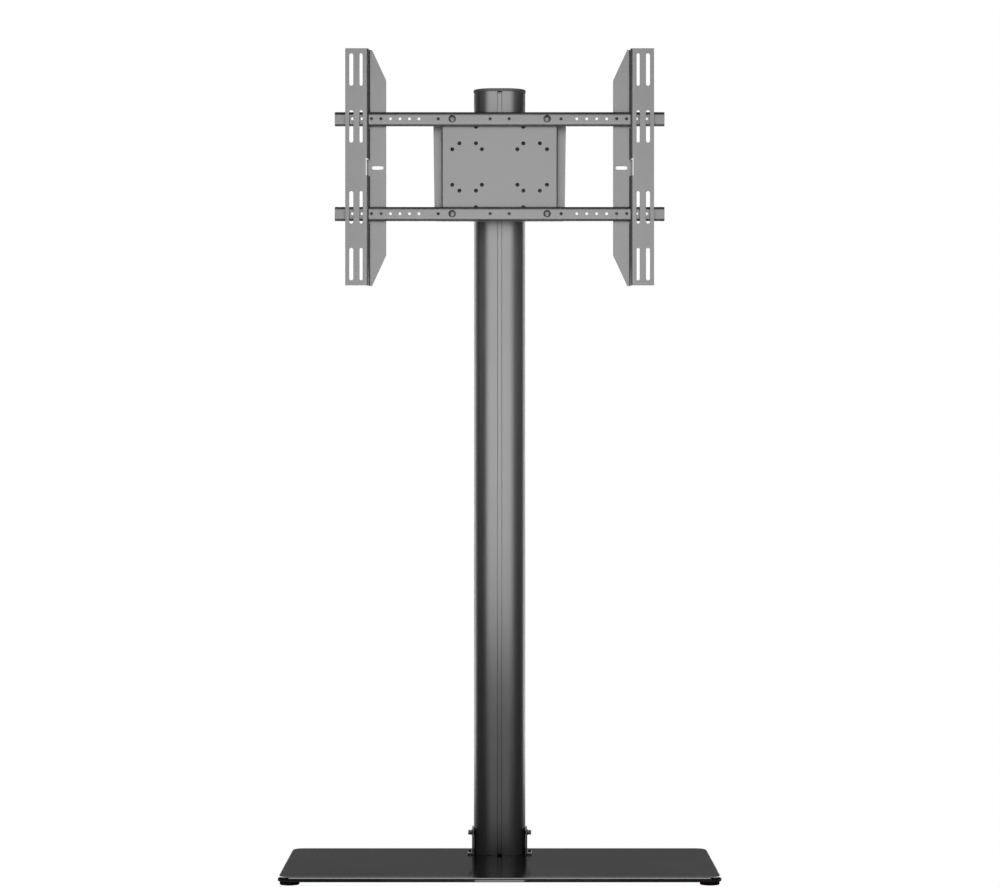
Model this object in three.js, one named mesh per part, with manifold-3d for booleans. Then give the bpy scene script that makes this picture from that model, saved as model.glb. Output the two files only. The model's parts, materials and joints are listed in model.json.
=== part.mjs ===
// Free-standing floor stand that carries a flat screen: a steel base plate on four pads, an oval
// aluminium column with a slot down its front and back, a head clamped in the front slot, two
// rails on the head and two arms that slide along the rails.
// Millimetres, +Z up, front towards -Y. The origin is the middle of the footprint on the floor.

import * as THREE from "three";
import { mergeVertices } from "three/addons/utils/BufferGeometryUtils.js";
import Module from "manifold-3d";

const wasm = await Module();
wasm.setup();

// Clearances
const seatGap = 0.3; // between two pieces that rest on each other
const holeClearance = 0.3; // round a shank, on each side
const slideClearance = 0.6; // beside a piece that slides
const overrun = 2; // how far a cut runs past what it cuts

// Roundness of the meshes, in steps
const cornerSteps = 4;
const edgeSteps = 3;
const slotSteps = 2;
const ovalSteps = 9;
const holeSteps = 12;
const screwSteps = 12;
const footSteps = 24;
const bendSteps = 4;
const domeSteps = 3;
const mergeTolerance = 1e-4;

// Base plate
const baseWidth = 896;
const baseDepth = 450;
const baseThickness = 10;
const baseCornerRadius = 25;
const baseUpperEdge = 5; // radius of the upper edge
const baseLowerEdge = 1;

// Pads under the base plate
const footDiameter = 40;
const footHeight = 7;
const footEdgeGap = 4; // from the edge of the base plate to the pad
const footEdgeRadius = 1.5;
const footHeadRecess = 1; // the screw head lies this far above the floor
const footHeadDiameter = 12;
const footHeadHeight = 3;
const footSocketDepth = 2;

// Column
const columnWidth = 110;
const columnDepth = 76;
const columnLength = 1624;
const columnFlat = 30; // width of the flat on the front and on the back
const columnWall = 3;
const columnRearInset = 49; // from the back edge of the base plate
const slotLip = 3.5; // thickness of the two lips beside the slot's mouth
const slotWall = 2.5;
const portInsetX = 17; // screw ports, in from the column's widest point
const portInsetY = 14;
const portWall = 2.5;

// Column cap
const capThickness = 6;
const capOverhang = 0.8;
const capEdgeRadius = 1.2;
const plugWidth = 12;
const plugBreadth = 36;
const plugLength = 12;

// Strips that close the slots
const stripSideGap = 0.5;
const stripRecess = 0.4;
const stripHook = 2; // how far the strip reaches behind each lip
const stripHookThickness = 1.5;
const stripTopGap = 5;
const stripBottomGap = 4;

// Brackets between the column and the base plate
const bracketThickness = 3.5;
const bracketHeight = 56;
const bracketBreadth = 50;
const sideBoltHeight = 45; // above the top of the base plate
const washerDiameter = 12;
const washerThickness = 1.8;
const baseBoltInset = 4.6; // from the outer edge of the bracket's foot
const baseBoltGap = 1.6; // between the bolt's head and the bracket's leg
const baseBoltDiameter = 4;
const baseBoltHeadDiameter = 7;
const baseBoltHeadHeight = 4;
const baseBoltSocket = 3;
const baseBoltSocketDepth = 2;

// Small screws and nuts
const smallDiameter = 6;
const smallHeadDiameter = 10;
const smallHeadHeight = 6;
const smallSocket = 5;
const smallSocketDepth = 3;
const smallNutAcross = 10;
const smallNutHeight = 5;
const smallSpare = 1; // thread that shows past the nut
const smallReach = 6; // how far a small screw goes into a blind hole
const drillSpare = 1; // how much deeper the blind hole is
const portReach = 30; // how far the column screws go up the ports
const headRecess = 0.5; // how deep a counterbored head lies below the surface
const counterboreGap = 0.5;

// Large bolts and nuts
const largeDiameter = 8;
const largeHeadDiameter = 15.5;
const largeHeadHeight = 4.4;
const largeHeadRim = 1; // height of the rim below the dome
const largeSocket = 5;
const largeSocketDepth = 2.5;
const largeNutAcross = 13;
const largeNutHeight = 6.5;
const largeBoltSpare = 2; // thread that shows past the nut

// Head on the column
const headDrop = 165; // from the top of the column down to the middle of the head
const travelDown = 60; // the strips leave the front slot open over this travel
const slotBoltPitch = 80;
const slotNutWidth = 18;
const slotNutThickness = 5;
const slotNutLength = 20;
const slotMouthClearance = 1; // beside the bolt, on each side
const plateThickness = 4;
const plateInset = 2.5; // the plate ends this far inside the adapter's lips

// Adapter plate
const adapterWidth = 246;
const adapterDepth = 30;
const adapterLip = 18;
const adapterTaper = 3; // each lip is this much narrower at the bottom
const lipScrewInset = 11.5; // from the widest edge of the lip
const adapterEndMargin = 12.5; // beyond the middle of the rails
const screenHole = 8;
const pattern75 = 75;
const pattern100 = 100;
const wideHoles = 170;
const widestHoles = 200;

// Rails
const railSpacing = 200;
const railLength = 695;
const railHeight = 30;
const railDepth = 15;
const railSheet = 2;
const railFrontRadius = 6.5; // inside the two front bends
const railLip = 8;
const railBoltPitch = 200;
const railHole = 6;
const innerHolePitch = 40;
const rowHoles = 8;
const leftRowStart = 170;
const leftRowPitch = 20;
const rightRowStart = 162.5;
const rightRowPitch = 21;

// Arms
const sheet = 2.5; // thickness of the adapter plate and of the arms
const bendRadius = 1.5; // inside a bend that has none of its own
const armLength = 499;
const armDrop = 2; // the arms hang this far below the middle of the head
const armInset = 72; // from the ends of the rails to the arms' webs
const armFaceWidth = 49.5;
const armFlangeWidth = 38.5;
const armFaceRadius = 5; // inside the bend between face and web
const armFlangeRadius = 4;
const armFaceGap = 5.5; // between the rails and the arms' faces
const armChamferLength = 65;
const armChamferWidth = 30;
const slotOuterWidth = 8.5;
const slotInnerWidth = 6.6;
const slotOuterInset = 12.8; // from the outer edge of the face
const slotInnerInset = 33.5;
const slotMiddleGap = 102; // between the two near slots, for 200 mm high patterns
const slotFarGap = 51; // from a near slot to a far one, for 400 mm high patterns
const slotEndGap = 10.5; // from a far slot to the end of the arm
const flangeSlotLength = 24.5;
const flangeSlotHeight = 7.4;
const webOpeningHeight = 36;
const webOpeningReach = 6; // into the face, from the web's inner side
const flangeTabReach = 5.5; // the flange runs on straight behind the opening, this far
const windowBelow = 4.5; // play below each rail in the arm's web
const windowBefore = 1.5; // play in front of each rail there
const lockNutWidth = 24;
const lockNutThickness = 4;
const lockNutLength = 16;

// Heights
const baseBottom = footHeight + seatGap;
const baseTop = baseBottom + baseThickness;
const columnBottom = baseTop + seatGap;
const columnTop = columnBottom + columnLength;
const headMiddle = columnTop - headDrop;
const lowerRail = headMiddle - railSpacing / 2;
const armMiddle = headMiddle - armDrop;
const adapterHeight = railSpacing + 2 * adapterEndMargin;

// Places from back to front
const columnMiddle = baseDepth / 2 - columnRearInset - columnDepth / 2;
const columnFront = columnMiddle - columnDepth / 2;
const plateBack = columnFront - seatGap;
const plateFront = plateBack - plateThickness;
const adapterBack = plateFront - seatGap;
const adapterFront = adapterBack - adapterDepth;
const railBack = adapterFront - seatGap;
const railFront = railBack - railDepth;
const armFlangeFront = railBack + slideClearance;
const armFlangeBack = armFlangeFront + sheet;
const armFaceBack = railFront - armFaceGap;
const armFaceFront = armFaceBack - sheet;

// Sizes that follow from what fits inside them
const smallHole = smallDiameter + 2 * holeClearance;
const largeHole = largeDiameter + 2 * holeClearance;
const slotMouth = largeDiameter + 2 * slotMouthClearance;
const slotChannelWidth = slotNutWidth + 2 * slideClearance;
const slotChannelDepth = slotNutThickness + seatGap + slideClearance + drillSpare;
const slotBoxHalf = slotChannelWidth / 2 + slotWall;
const slotBoxDepth = slotLip + slotChannelDepth + slotWall;
const portX = columnWidth / 2 - portInsetX;
const portY = columnDepth / 2 - portInsetY;
const portRadius = smallHole / 2 + portWall;
const lipScrewX = adapterWidth / 2 + adapterLip - lipScrewInset;
const bracketInner = columnWidth / 2 + seatGap;
const bracketReach = baseBoltGap + baseBoltHeadDiameter / 2 + baseBoltInset;
const baseBoltHole = baseBoltDiameter + 2 * holeClearance;
const armWeb = railLength / 2 - armInset;
const flangeMiddle = armWeb + (sheet - armFlangeWidth) / 2;
const slotLength = (armLength - slotMiddleGap) / 4 - (slotFarGap + slotEndGap) / 2;
const slotNearMiddle = (slotMiddleGap + slotLength) / 2;
const slotFarMiddle = slotNearMiddle + slotLength + slotFarGap;
const stripOpenHalf = slotBoltPitch / 2 + slotNutLength / 2 + travelDown + drillSpare;

// Directions: a drawing's own x, y and depth as the part's directions
const axisX = new THREE.Vector3(1, 0, 0);
const axisY = new THREE.Vector3(0, 1, 0);
const axisZ = new THREE.Vector3(0, 0, 1);
const drawnInYZ = new THREE.Matrix4().makeBasis(axisY, axisZ, axisX);
const drawnInXZ = new THREE.Matrix4().makeBasis(axisX, axisZ, axisY.clone().negate());

// Turns a closed three.js geometry into a solid that can be joined and cut.
function solidOf(geometry) {
  const bare = geometry.clone();
  bare.deleteAttribute("normal");
  bare.deleteAttribute("uv");
  const merged = mergeVertices(bare, mergeTolerance);
  const corners = merged.index.array;
  const kept = [];
  for (let i = 0; i < corners.length; i += 3) {
    const [a, b, c] = [corners[i], corners[i + 1], corners[i + 2]];
    if (a !== b && b !== c && c !== a) kept.push(a, b, c);
  }
  return new wasm.Manifold(
    new wasm.Mesh({
      numProp: 3,
      vertProperties: merged.attributes.position.array,
      triVerts: new Uint32Array(kept),
    }),
  );
}

function geometryOf(solid) {
  const mesh = solid.getMesh();
  return new THREE.BufferGeometry()
    .setAttribute("position", new THREE.BufferAttribute(mesh.vertProperties, 3))
    .setIndex(new THREE.BufferAttribute(mesh.triVerts, 1));
}

function cut(solid, tools) {
  return tools.reduce((left, tool) => left.subtract(tool), solid);
}

function join(solids) {
  return solids.reduce((whole, piece) => whole.add(piece));
}

// A flat drawing given depth along Z, from bottom to top.
function upright(shape, bottom, top) {
  const settings = { depth: top - bottom, bevelEnabled: false, curveSegments: ovalSteps };
  return solidOf(new THREE.ExtrudeGeometry(shape, settings).translate(0, 0, bottom));
}

// A drawing in x and z given depth along Y, from front to back.
function facing(shape, front, back) {
  const settings = { depth: back - front, bevelEnabled: false, curveSegments: slotSteps };
  const geometry = new THREE.ExtrudeGeometry(shape, settings).applyMatrix4(drawnInXZ);
  return solidOf(geometry.translate(0, back, 0));
}

// A drawing in y and z given depth along X, from left to right.
function crosswise(shape, left, right) {
  const settings = { depth: right - left, bevelEnabled: false, curveSegments: slotSteps };
  const geometry = new THREE.ExtrudeGeometry(shape, settings).applyMatrix4(drawnInYZ);
  return solidOf(geometry.translate(left, 0, 0));
}

function block(left, right, front, back, bottom, top) {
  const box = new THREE.BoxGeometry(right - left, back - front, top - bottom);
  return solidOf(box.translate((left + right) / 2, (front + back) / 2, (bottom + top) / 2));
}

// Round bars, used as cutting tools, along each direction.
function barX(y, z, diameter, left, right) {
  const bar = new THREE.CylinderGeometry(diameter / 2, diameter / 2, right - left, holeSteps);
  return solidOf(bar.rotateZ(Math.PI / 2).translate((left + right) / 2, y, z));
}

function barY(x, z, diameter, front, back) {
  const bar = new THREE.CylinderGeometry(diameter / 2, diameter / 2, back - front, holeSteps);
  return solidOf(bar.translate(x, (front + back) / 2, z));
}

function barZ(x, y, diameter, bottom, top) {
  const bar = new THREE.CylinderGeometry(diameter / 2, diameter / 2, top - bottom, holeSteps);
  return solidOf(bar.rotateX(Math.PI / 2).translate(x, y, (bottom + top) / 2));
}

function roundedRectangle(width, height, radius) {
  const x = width / 2 - radius;
  const y = height / 2 - radius;
  const shape = new THREE.Shape();
  shape.absarc(x, y, radius, 0, Math.PI / 2);
  shape.absarc(-x, y, radius, Math.PI / 2, Math.PI);
  shape.absarc(-x, -y, radius, Math.PI, 1.5 * Math.PI);
  shape.absarc(x, -y, radius, 1.5 * Math.PI, 2 * Math.PI);
  shape.closePath();
  return shape;
}

// A slot with round ends, its middle at (x, y).
function slotShape(x, y, width, height) {
  const shape = new THREE.Shape();
  const radius = Math.min(width, height) / 2;
  const reachX = width / 2 - radius;
  const reachY = height / 2 - radius;
  shape.absarc(x + reachX, y + reachY, radius, 0, Math.PI / 2);
  shape.absarc(x - reachX, y + reachY, radius, Math.PI / 2, Math.PI);
  shape.absarc(x - reachX, y - reachY, radius, Math.PI, 1.5 * Math.PI);
  shape.absarc(x + reachX, y - reachY, radius, 1.5 * Math.PI, 2 * Math.PI);
  shape.closePath();
  return shape;
}

// The outline of a bent sheet, from the middle line of its thickness and the inside radius of each bend.
function bentSheet(path, thickness, insideRadii) {
  const points = path.map(([x, y]) => new THREE.Vector2(x, y));
  const line = [];
  const directions = points.slice(1).map((p, i) => p.clone().sub(points[i]).normalize());
  const sideOf = (d) => new THREE.Vector2(-d.y, d.x);
  line.push([points[0], sideOf(directions[0])]);
  for (let i = 1; i < points.length - 1; i++) {
    const before = directions[i - 1];
    const after = directions[i];
    const radius = insideRadii[i - 1] + thickness / 2;
    const turn = Math.atan2(before.cross(after), before.dot(after));
    const back = radius * Math.tan(Math.abs(turn) / 2);
    const start = points[i].clone().addScaledVector(before, -back);
    const centre = start.clone().addScaledVector(sideOf(before), radius * Math.sign(turn));
    for (let step = 0; step <= bendSteps; step++) {
      const angle = (turn * step) / bendSteps;
      const side = sideOf(before).rotateAround(new THREE.Vector2(), angle);
      line.push([centre.clone().addScaledVector(side, -radius * Math.sign(turn)), side]);
    }
  }
  line.push([points.at(-1), sideOf(directions.at(-1))]);
  const left = line.map(([p, side]) => p.clone().addScaledVector(side, thickness / 2));
  const right = line.map(([p, side]) => p.clone().addScaledVector(side, -thickness / 2));
  return new THREE.Shape([...left, ...right.reverse()]);
}

// The column's outline: flat front and back, and sides that are half ovals.
function ovalShape(halfWidth, halfDepth) {
  const flat = columnFlat / 2;
  const side = halfWidth - flat;
  const shape = new THREE.Shape();
  shape.moveTo(-flat, columnMiddle - halfDepth);
  shape.lineTo(flat, columnMiddle - halfDepth);
  shape.absellipse(flat, columnMiddle, side, halfDepth, -Math.PI / 2, Math.PI / 2);
  shape.lineTo(-flat, columnMiddle + halfDepth);
  shape.absellipse(-flat, columnMiddle, side, halfDepth, Math.PI / 2, 1.5 * Math.PI);
  return shape;
}

// Half width of the column's hollow, this far in front of or behind its middle.
function hollowHalfWidth(offset) {
  const side = columnWidth / 2 - columnWall - columnFlat / 2;
  const share = offset / (columnDepth / 2 - columnWall);
  return columnFlat / 2 + side * Math.sqrt(1 - share * share);
}

// A round piece turned about Z. The profile runs from the axis or closes on itself.
function turned(profile, steps) {
  const points = profile.map(([radius, height]) => new THREE.Vector2(radius, height));
  return solidOf(new THREE.LatheGeometry(points, steps).rotateX(Math.PI / 2));
}

function hexagon(across) {
  const shape = new THREE.Shape();
  const radius = across / Math.sqrt(3);
  for (let i = 0; i < 6; i++) {
    shape.lineTo(radius * Math.cos((i * Math.PI) / 3), radius * Math.sin((i * Math.PI) / 3));
  }
  shape.closePath();
  return shape;
}

// A socket screw with its tip along +Z and the underside of its head at 0.
function socketScrew(length, diameter, headDiameter, headHeight, across, socketDepth) {
  const head = headDiameter / 2;
  const shank = diameter / 2;
  const profile = [
    [0, -headHeight],
    [head, -headHeight],
    [head, 0],
    [shank, 0],
    [shank, length],
    [0, length],
  ];
  const socket = upright(hexagon(across), -headHeight - overrun, socketDepth - headHeight);
  return turned(profile, screwSteps).subtract(socket);
}

function capScrew(length) {
  return socketScrew(
    length, smallDiameter, smallHeadDiameter, smallHeadHeight, smallSocket, smallSocketDepth,
  );
}

// A domed bolt with a socket, laid out like the cap screw. Its dome stands on a short rim.
function domedBolt(length) {
  const head = largeHeadDiameter / 2;
  const shank = largeDiameter / 2;
  const dome = largeHeadHeight - largeHeadRim;
  const round = (head * head + dome * dome) / (2 * dome);
  const reach = Math.asin(head / round);
  const profile = [];
  for (let i = 0; i <= domeSteps; i++) {
    const angle = (i * reach) / domeSteps;
    profile.push([round * Math.sin(angle), round * (1 - Math.cos(angle)) - largeHeadHeight]);
  }
  profile.push([head, 0], [shank, 0], [shank, length], [0, length]);
  const socketBottom = largeSocketDepth - largeHeadHeight;
  const socket = upright(hexagon(largeSocket), -largeHeadHeight - overrun, socketBottom);
  return turned(profile, screwSteps).subtract(socket);
}

// A hexagon nut and a washer, both from 0 up.
function nut(across, height, hole) {
  return upright(hexagon(across), 0, height).subtract(barZ(0, 0, hole, -overrun, height + overrun));
}

function ring(diameter, height, hole) {
  return barZ(0, 0, diameter, 0, height).subtract(barZ(0, 0, hole, -overrun, height + overrun));
}

// Finishes
const finishes = {
  powderCoat: { color: 0x101112, roughness: 0.42, metalness: 0 },
  basePlateCoat: { color: 0x0d0e0f, roughness: 0.22, metalness: 0 },
  anodised: { color: 0x131416, roughness: 0.3, metalness: 0.2 },
  blackPlastic: { color: 0x0c0c0d, roughness: 0.5, metalness: 0 },
  rubber: { color: 0x0a0a0a, roughness: 0.85, metalness: 0 },
  blackSteel: { color: 0x17181a, roughness: 0.35, metalness: 0.6 },
  zincSteel: { color: 0x9a9da0, roughness: 0.35, metalness: 0.9 },
};

function piece(name, solid, finish) {
  const material = new THREE.MeshStandardMaterial({ ...finishes[finish], flatShading: true });
  const mesh = new THREE.Mesh(geometryOf(solid), material);
  mesh.name = name;
  return mesh;
}

const sides = [
  ["left", -1],
  ["right", 1],
];
const ends = [
  ["front", -1],
  ["rear", 1],
];
const levels = [
  ["upper", 1],
  ["lower", -1],
];

// Base plate

const footX = baseWidth / 2 - footEdgeGap - footDiameter / 2;
const footY = baseDepth / 2 - footEdgeGap - footDiameter / 2;
const baseBoltX = bracketInner + bracketThickness + bracketReach - baseBoltInset;
const counterbore = smallHeadDiameter + 2 * counterboreGap;

// The base plate's outline with both its edges rounded alike, from bottom to top.
function roundedSlab(radius, bottom, top) {
  const shape = roundedRectangle(baseWidth, baseDepth, baseCornerRadius);
  const settings = {
    depth: top - bottom - 2 * radius,
    bevelThickness: radius,
    bevelSize: radius,
    bevelOffset: -radius,
    bevelSegments: edgeSteps,
    curveSegments: cornerSteps,
  };
  return solidOf(new THREE.ExtrudeGeometry(shape, settings).translate(0, 0, bottom + radius));
}

function basePlate() {
  const upper = roundedSlab(baseUpperEdge, baseBottom - baseUpperEdge, baseTop);
  const lower = roundedSlab(baseLowerEdge, baseBottom, baseTop + baseLowerEdge);
  const holes = [];
  for (const [, x] of sides) {
    for (const [, y] of ends) {
      const screwTop = baseBottom + smallHeadHeight + headRecess;
      const portMiddle = columnMiddle + y * portY;
      const blindEnd = baseBottom + smallReach + drillSpare;
      holes.push(barZ(x * footX, y * footY, smallHole, baseBottom - overrun, blindEnd));
      holes.push(barZ(x * portX, portMiddle, smallHole, baseBottom - overrun, baseTop + overrun));
      holes.push(barZ(x * portX, portMiddle, counterbore, baseBottom - overrun, screwTop));
    }
    holes.push(barZ(x * baseBoltX, columnMiddle, baseBoltHole, baseBottom - overrun, baseTop + overrun));
  }
  return cut(upper.intersect(lower), holes);
}

// Pad with a rounded rim and a recess for its screw. Its middle is on the Z axis.
function footPad() {
  const radius = footDiameter / 2;
  const recess = footHeadDiameter / 2 + counterboreGap;
  const seat = footHeadRecess + footHeadHeight + seatGap;
  const profile = [
    [recess, 0],
    [radius - footEdgeRadius, 0],
    [radius, footEdgeRadius],
    [radius, footHeight],
    [smallHole / 2, footHeight],
    [smallHole / 2, seat],
    [recess, seat],
    [recess, 0],
  ];
  return turned(profile, footSteps);
}

function footScrew() {
  const length = baseBottom + smallReach - footHeadRecess - footHeadHeight;
  return socketScrew(
    length, smallDiameter, footHeadDiameter, footHeadHeight, smallSocket, footSocketDepth,
  );
}

// Column, an extrusion with a slot front and back and four screw ports

function mirroredY(front, back) {
  return [
    [front, back],
    [2 * columnMiddle - back, 2 * columnMiddle - front],
  ];
}

function column() {
  const halfWidth = columnWidth / 2;
  const halfDepth = columnDepth / 2;
  const low = columnBottom;
  const high = columnTop;
  const outside = upright(ovalShape(halfWidth, halfDepth), low, high);
  const inside = upright(
    ovalShape(halfWidth - columnWall, halfDepth - columnWall),
    low - overrun,
    high + overrun,
  );
  const added = [];
  const removed = [];
  for (const [front, back] of mirroredY(columnFront, columnFront + slotBoxDepth)) {
    added.push(block(-slotBoxHalf, slotBoxHalf, front, back, low, high));
  }
  const channelFront = columnFront + slotLip;
  for (const [front, back] of mirroredY(channelFront, channelFront + slotChannelDepth)) {
    const half = slotChannelWidth / 2;
    removed.push(block(-half, half, front, back, low - overrun, high + overrun));
  }
  for (const [front, back] of mirroredY(columnFront - overrun, channelFront + overrun)) {
    removed.push(block(-slotMouth / 2, slotMouth / 2, front, back, low - overrun, high + overrun));
  }
  for (const [, x] of sides) {
    for (const [, y] of ends) {
      const middle = columnMiddle + y * portY;
      added.push(barZ(x * portX, middle, 2 * portRadius, low, high));
      removed.push(barZ(x * portX, middle, smallHole, low - overrun, high + overrun));
    }
  }
  const boltHeight = baseTop + sideBoltHeight;
  removed.push(barX(columnMiddle, boltHeight, smallHole, -halfWidth - overrun, halfWidth + overrun));
  const within = join([outside.subtract(inside), ...added]).intersect(outside);
  return cut(within, removed);
}

// Cap: a plate a little wider than the column, with two plugs that go down into its hollow.
function columnCap() {
  const bottom = columnTop + seatGap;
  const halfWidth = columnWidth / 2 + capOverhang;
  const halfDepth = columnDepth / 2 + capOverhang;
  const settings = {
    depth: capThickness - capEdgeRadius,
    bevelThickness: capEdgeRadius,
    bevelSize: capEdgeRadius,
    bevelOffset: -capEdgeRadius,
    bevelSegments: 2,
    curveSegments: ovalSteps,
  };
  const lid = solidOf(
    new THREE.ExtrudeGeometry(ovalShape(halfWidth, halfDepth), settings).translate(0, 0, bottom),
  );
  const low = bottom - plugLength;
  const inner = slotBoxHalf + slideClearance;
  const plugs = sides.map(([, x]) => {
    const near = x * inner;
    const far = x * (inner + plugWidth);
    const front = columnMiddle - plugBreadth / 2;
    const back = columnMiddle + plugBreadth / 2;
    return block(Math.min(near, far), Math.max(near, far), front, back, low, bottom + capEdgeRadius);
  });
  const flatUnderside = block(
    -columnWidth,
    columnWidth,
    columnFront - columnDepth,
    columnFront + 2 * columnDepth,
    bottom - capEdgeRadius - overrun,
    bottom,
  );
  return join([lid.subtract(flatUnderside), ...plugs]);
}

// Strip that snaps behind the lips of a slot, drawn at the front slot.
function slotStrip(bottom, top) {
  const face = columnFront + stripRecess;
  const hookFront = columnFront + slotLip + seatGap;
  const half = slotMouth / 2 - stripSideGap;
  const hookHalf = slotMouth / 2 + stripHook;
  return join([
    block(-half, half, face, hookFront + stripHookThickness, bottom, top),
    block(-hookHalf, hookHalf, hookFront, hookFront + stripHookThickness, bottom, top),
  ]);
}

// Bracket between the column's side and the base plate, drawn for the right-hand side.
function footBracket() {
  const middle = bracketThickness / 2;
  const path = [
    [bracketInner + middle, columnBottom + bracketHeight],
    [bracketInner + middle, columnBottom + middle],
    [bracketInner + bracketThickness + bracketReach, columnBottom + middle],
  ];
  const section = bentSheet(path, bracketThickness, [bendRadius]);
  const front = columnMiddle - bracketBreadth / 2;
  const back = columnMiddle + bracketBreadth / 2;
  const left = bracketInner - overrun;
  const right = bracketInner + bracketThickness + overrun;
  const above = columnBottom + bracketThickness + overrun;
  return cut(facing(section, front, back), [
    barZ(baseBoltX, columnMiddle, baseBoltHole, columnBottom - overrun, above),
    barX(columnMiddle, baseTop + sideBoltHeight, smallHole, left, right),
  ]);
}

// Head: plate on the column, adapter plate, rails

function columnPlate() {
  const half = adapterWidth / 2 + adapterLip - adapterTaper - plateInset;
  const bottom = headMiddle - adapterHeight / 2;
  const plate = block(-half, half, plateFront, plateBack, bottom, bottom + adapterHeight);
  const holes = [];
  for (const [, z] of levels) {
    const boltMiddle = headMiddle + (z * slotBoltPitch) / 2;
    holes.push(barY(0, boltMiddle, largeHole, plateFront - overrun, plateBack + overrun));
    for (const [, x] of sides) {
      const lipZ = headMiddle + (z * railSpacing) / 2;
      holes.push(barY(x * lipScrewX, lipZ, smallHole, plateFront - overrun, plateBack + overrun));
    }
  }
  return cut(plate, holes);
}

// Places of the holes in the adapter plate's face, as distances from its middle.
function adapterHoles() {
  const pairs = [
    [pattern100, pattern100],
    [pattern75, pattern75],
    [wideHoles, pattern100],
    [widestHoles, pattern75],
    [pattern100, wideHoles],
    [pattern75, widestHoles],
  ];
  return pairs.map(([x, z]) => [x / 2, z / 2]);
}

function adapterPlate() {
  const halfFace = adapterWidth / 2 - sheet / 2;
  const halfLip = adapterWidth / 2 + adapterLip;
  const frontLine = adapterFront + sheet / 2;
  const backLine = adapterBack - sheet / 2;
  const path = [
    [-halfLip, backLine],
    [-halfFace, backLine],
    [-halfFace, frontLine],
    [halfFace, frontLine],
    [halfFace, backLine],
    [halfLip, backLine],
  ];
  const bottom = headMiddle - adapterHeight / 2;
  const top = headMiddle + adapterHeight / 2;
  const tools = [];
  for (const [, x] of sides) {
    const wedge = new THREE.Shape();
    wedge.moveTo(x * halfLip, top + overrun);
    wedge.lineTo(x * (halfLip - adapterTaper), bottom);
    wedge.lineTo(x * (halfLip - adapterTaper), bottom - overrun);
    wedge.lineTo(x * (halfLip + overrun), bottom - overrun);
    wedge.lineTo(x * (halfLip + overrun), top + overrun);
    wedge.closePath();
    tools.push(facing(wedge, adapterFront, adapterBack + overrun));
    for (const [, z] of levels) {
      const front = adapterFront - overrun;
      const faceBack = adapterFront + sheet + overrun;
      const railMiddle = headMiddle + (z * railSpacing) / 2;
      for (const [holeX, holeZ] of adapterHoles()) {
        tools.push(barY(x * holeX, headMiddle + z * holeZ, screenHole, front, faceBack));
      }
      tools.push(barY((x * railBoltPitch) / 2, railMiddle, largeHole, front, faceBack));
      tools.push(barY(x * lipScrewX, railMiddle, smallHole, front, adapterBack + overrun));
    }
  }
  const bends = [bendRadius, bendRadius, bendRadius, bendRadius];
  return cut(upright(bentSheet(path, sheet, bends), bottom, top), tools);
}

// Rail: a channel that opens to the back, its lips turned in. Drawn round the given height.
function rail(middle) {
  const half = railHeight / 2 - railSheet / 2;
  const frontLine = railFront + railSheet / 2;
  const backLine = railBack - railSheet / 2;
  const path = [
    [backLine, middle - railHeight / 2 + railLip],
    [backLine, middle - half],
    [frontLine, middle - half],
    [frontLine, middle + half],
    [backLine, middle + half],
    [backLine, middle + railHeight / 2 - railLip],
  ];
  const front = railFront - overrun;
  const back = railFront + railSheet + overrun;
  const holes = [];
  for (let i = 0; i < rowHoles; i++) {
    holes.push(-leftRowStart - i * leftRowPitch, rightRowStart + i * rightRowPitch);
  }
  for (const [, x] of sides) {
    holes.push((x * innerHolePitch) / 2, x * lipScrewX);
  }
  const tools = holes.map((x) => barY(x, middle, railHole, front, back));
  for (const [, x] of sides) {
    tools.push(barY((x * railBoltPitch) / 2, middle, largeHole, front, back));
  }
  const bends = [bendRadius, railFrontRadius, railFrontRadius, bendRadius];
  return cut(crosswise(bentSheet(path, railSheet, bends), -railLength / 2, railLength / 2), tools);
}

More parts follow.
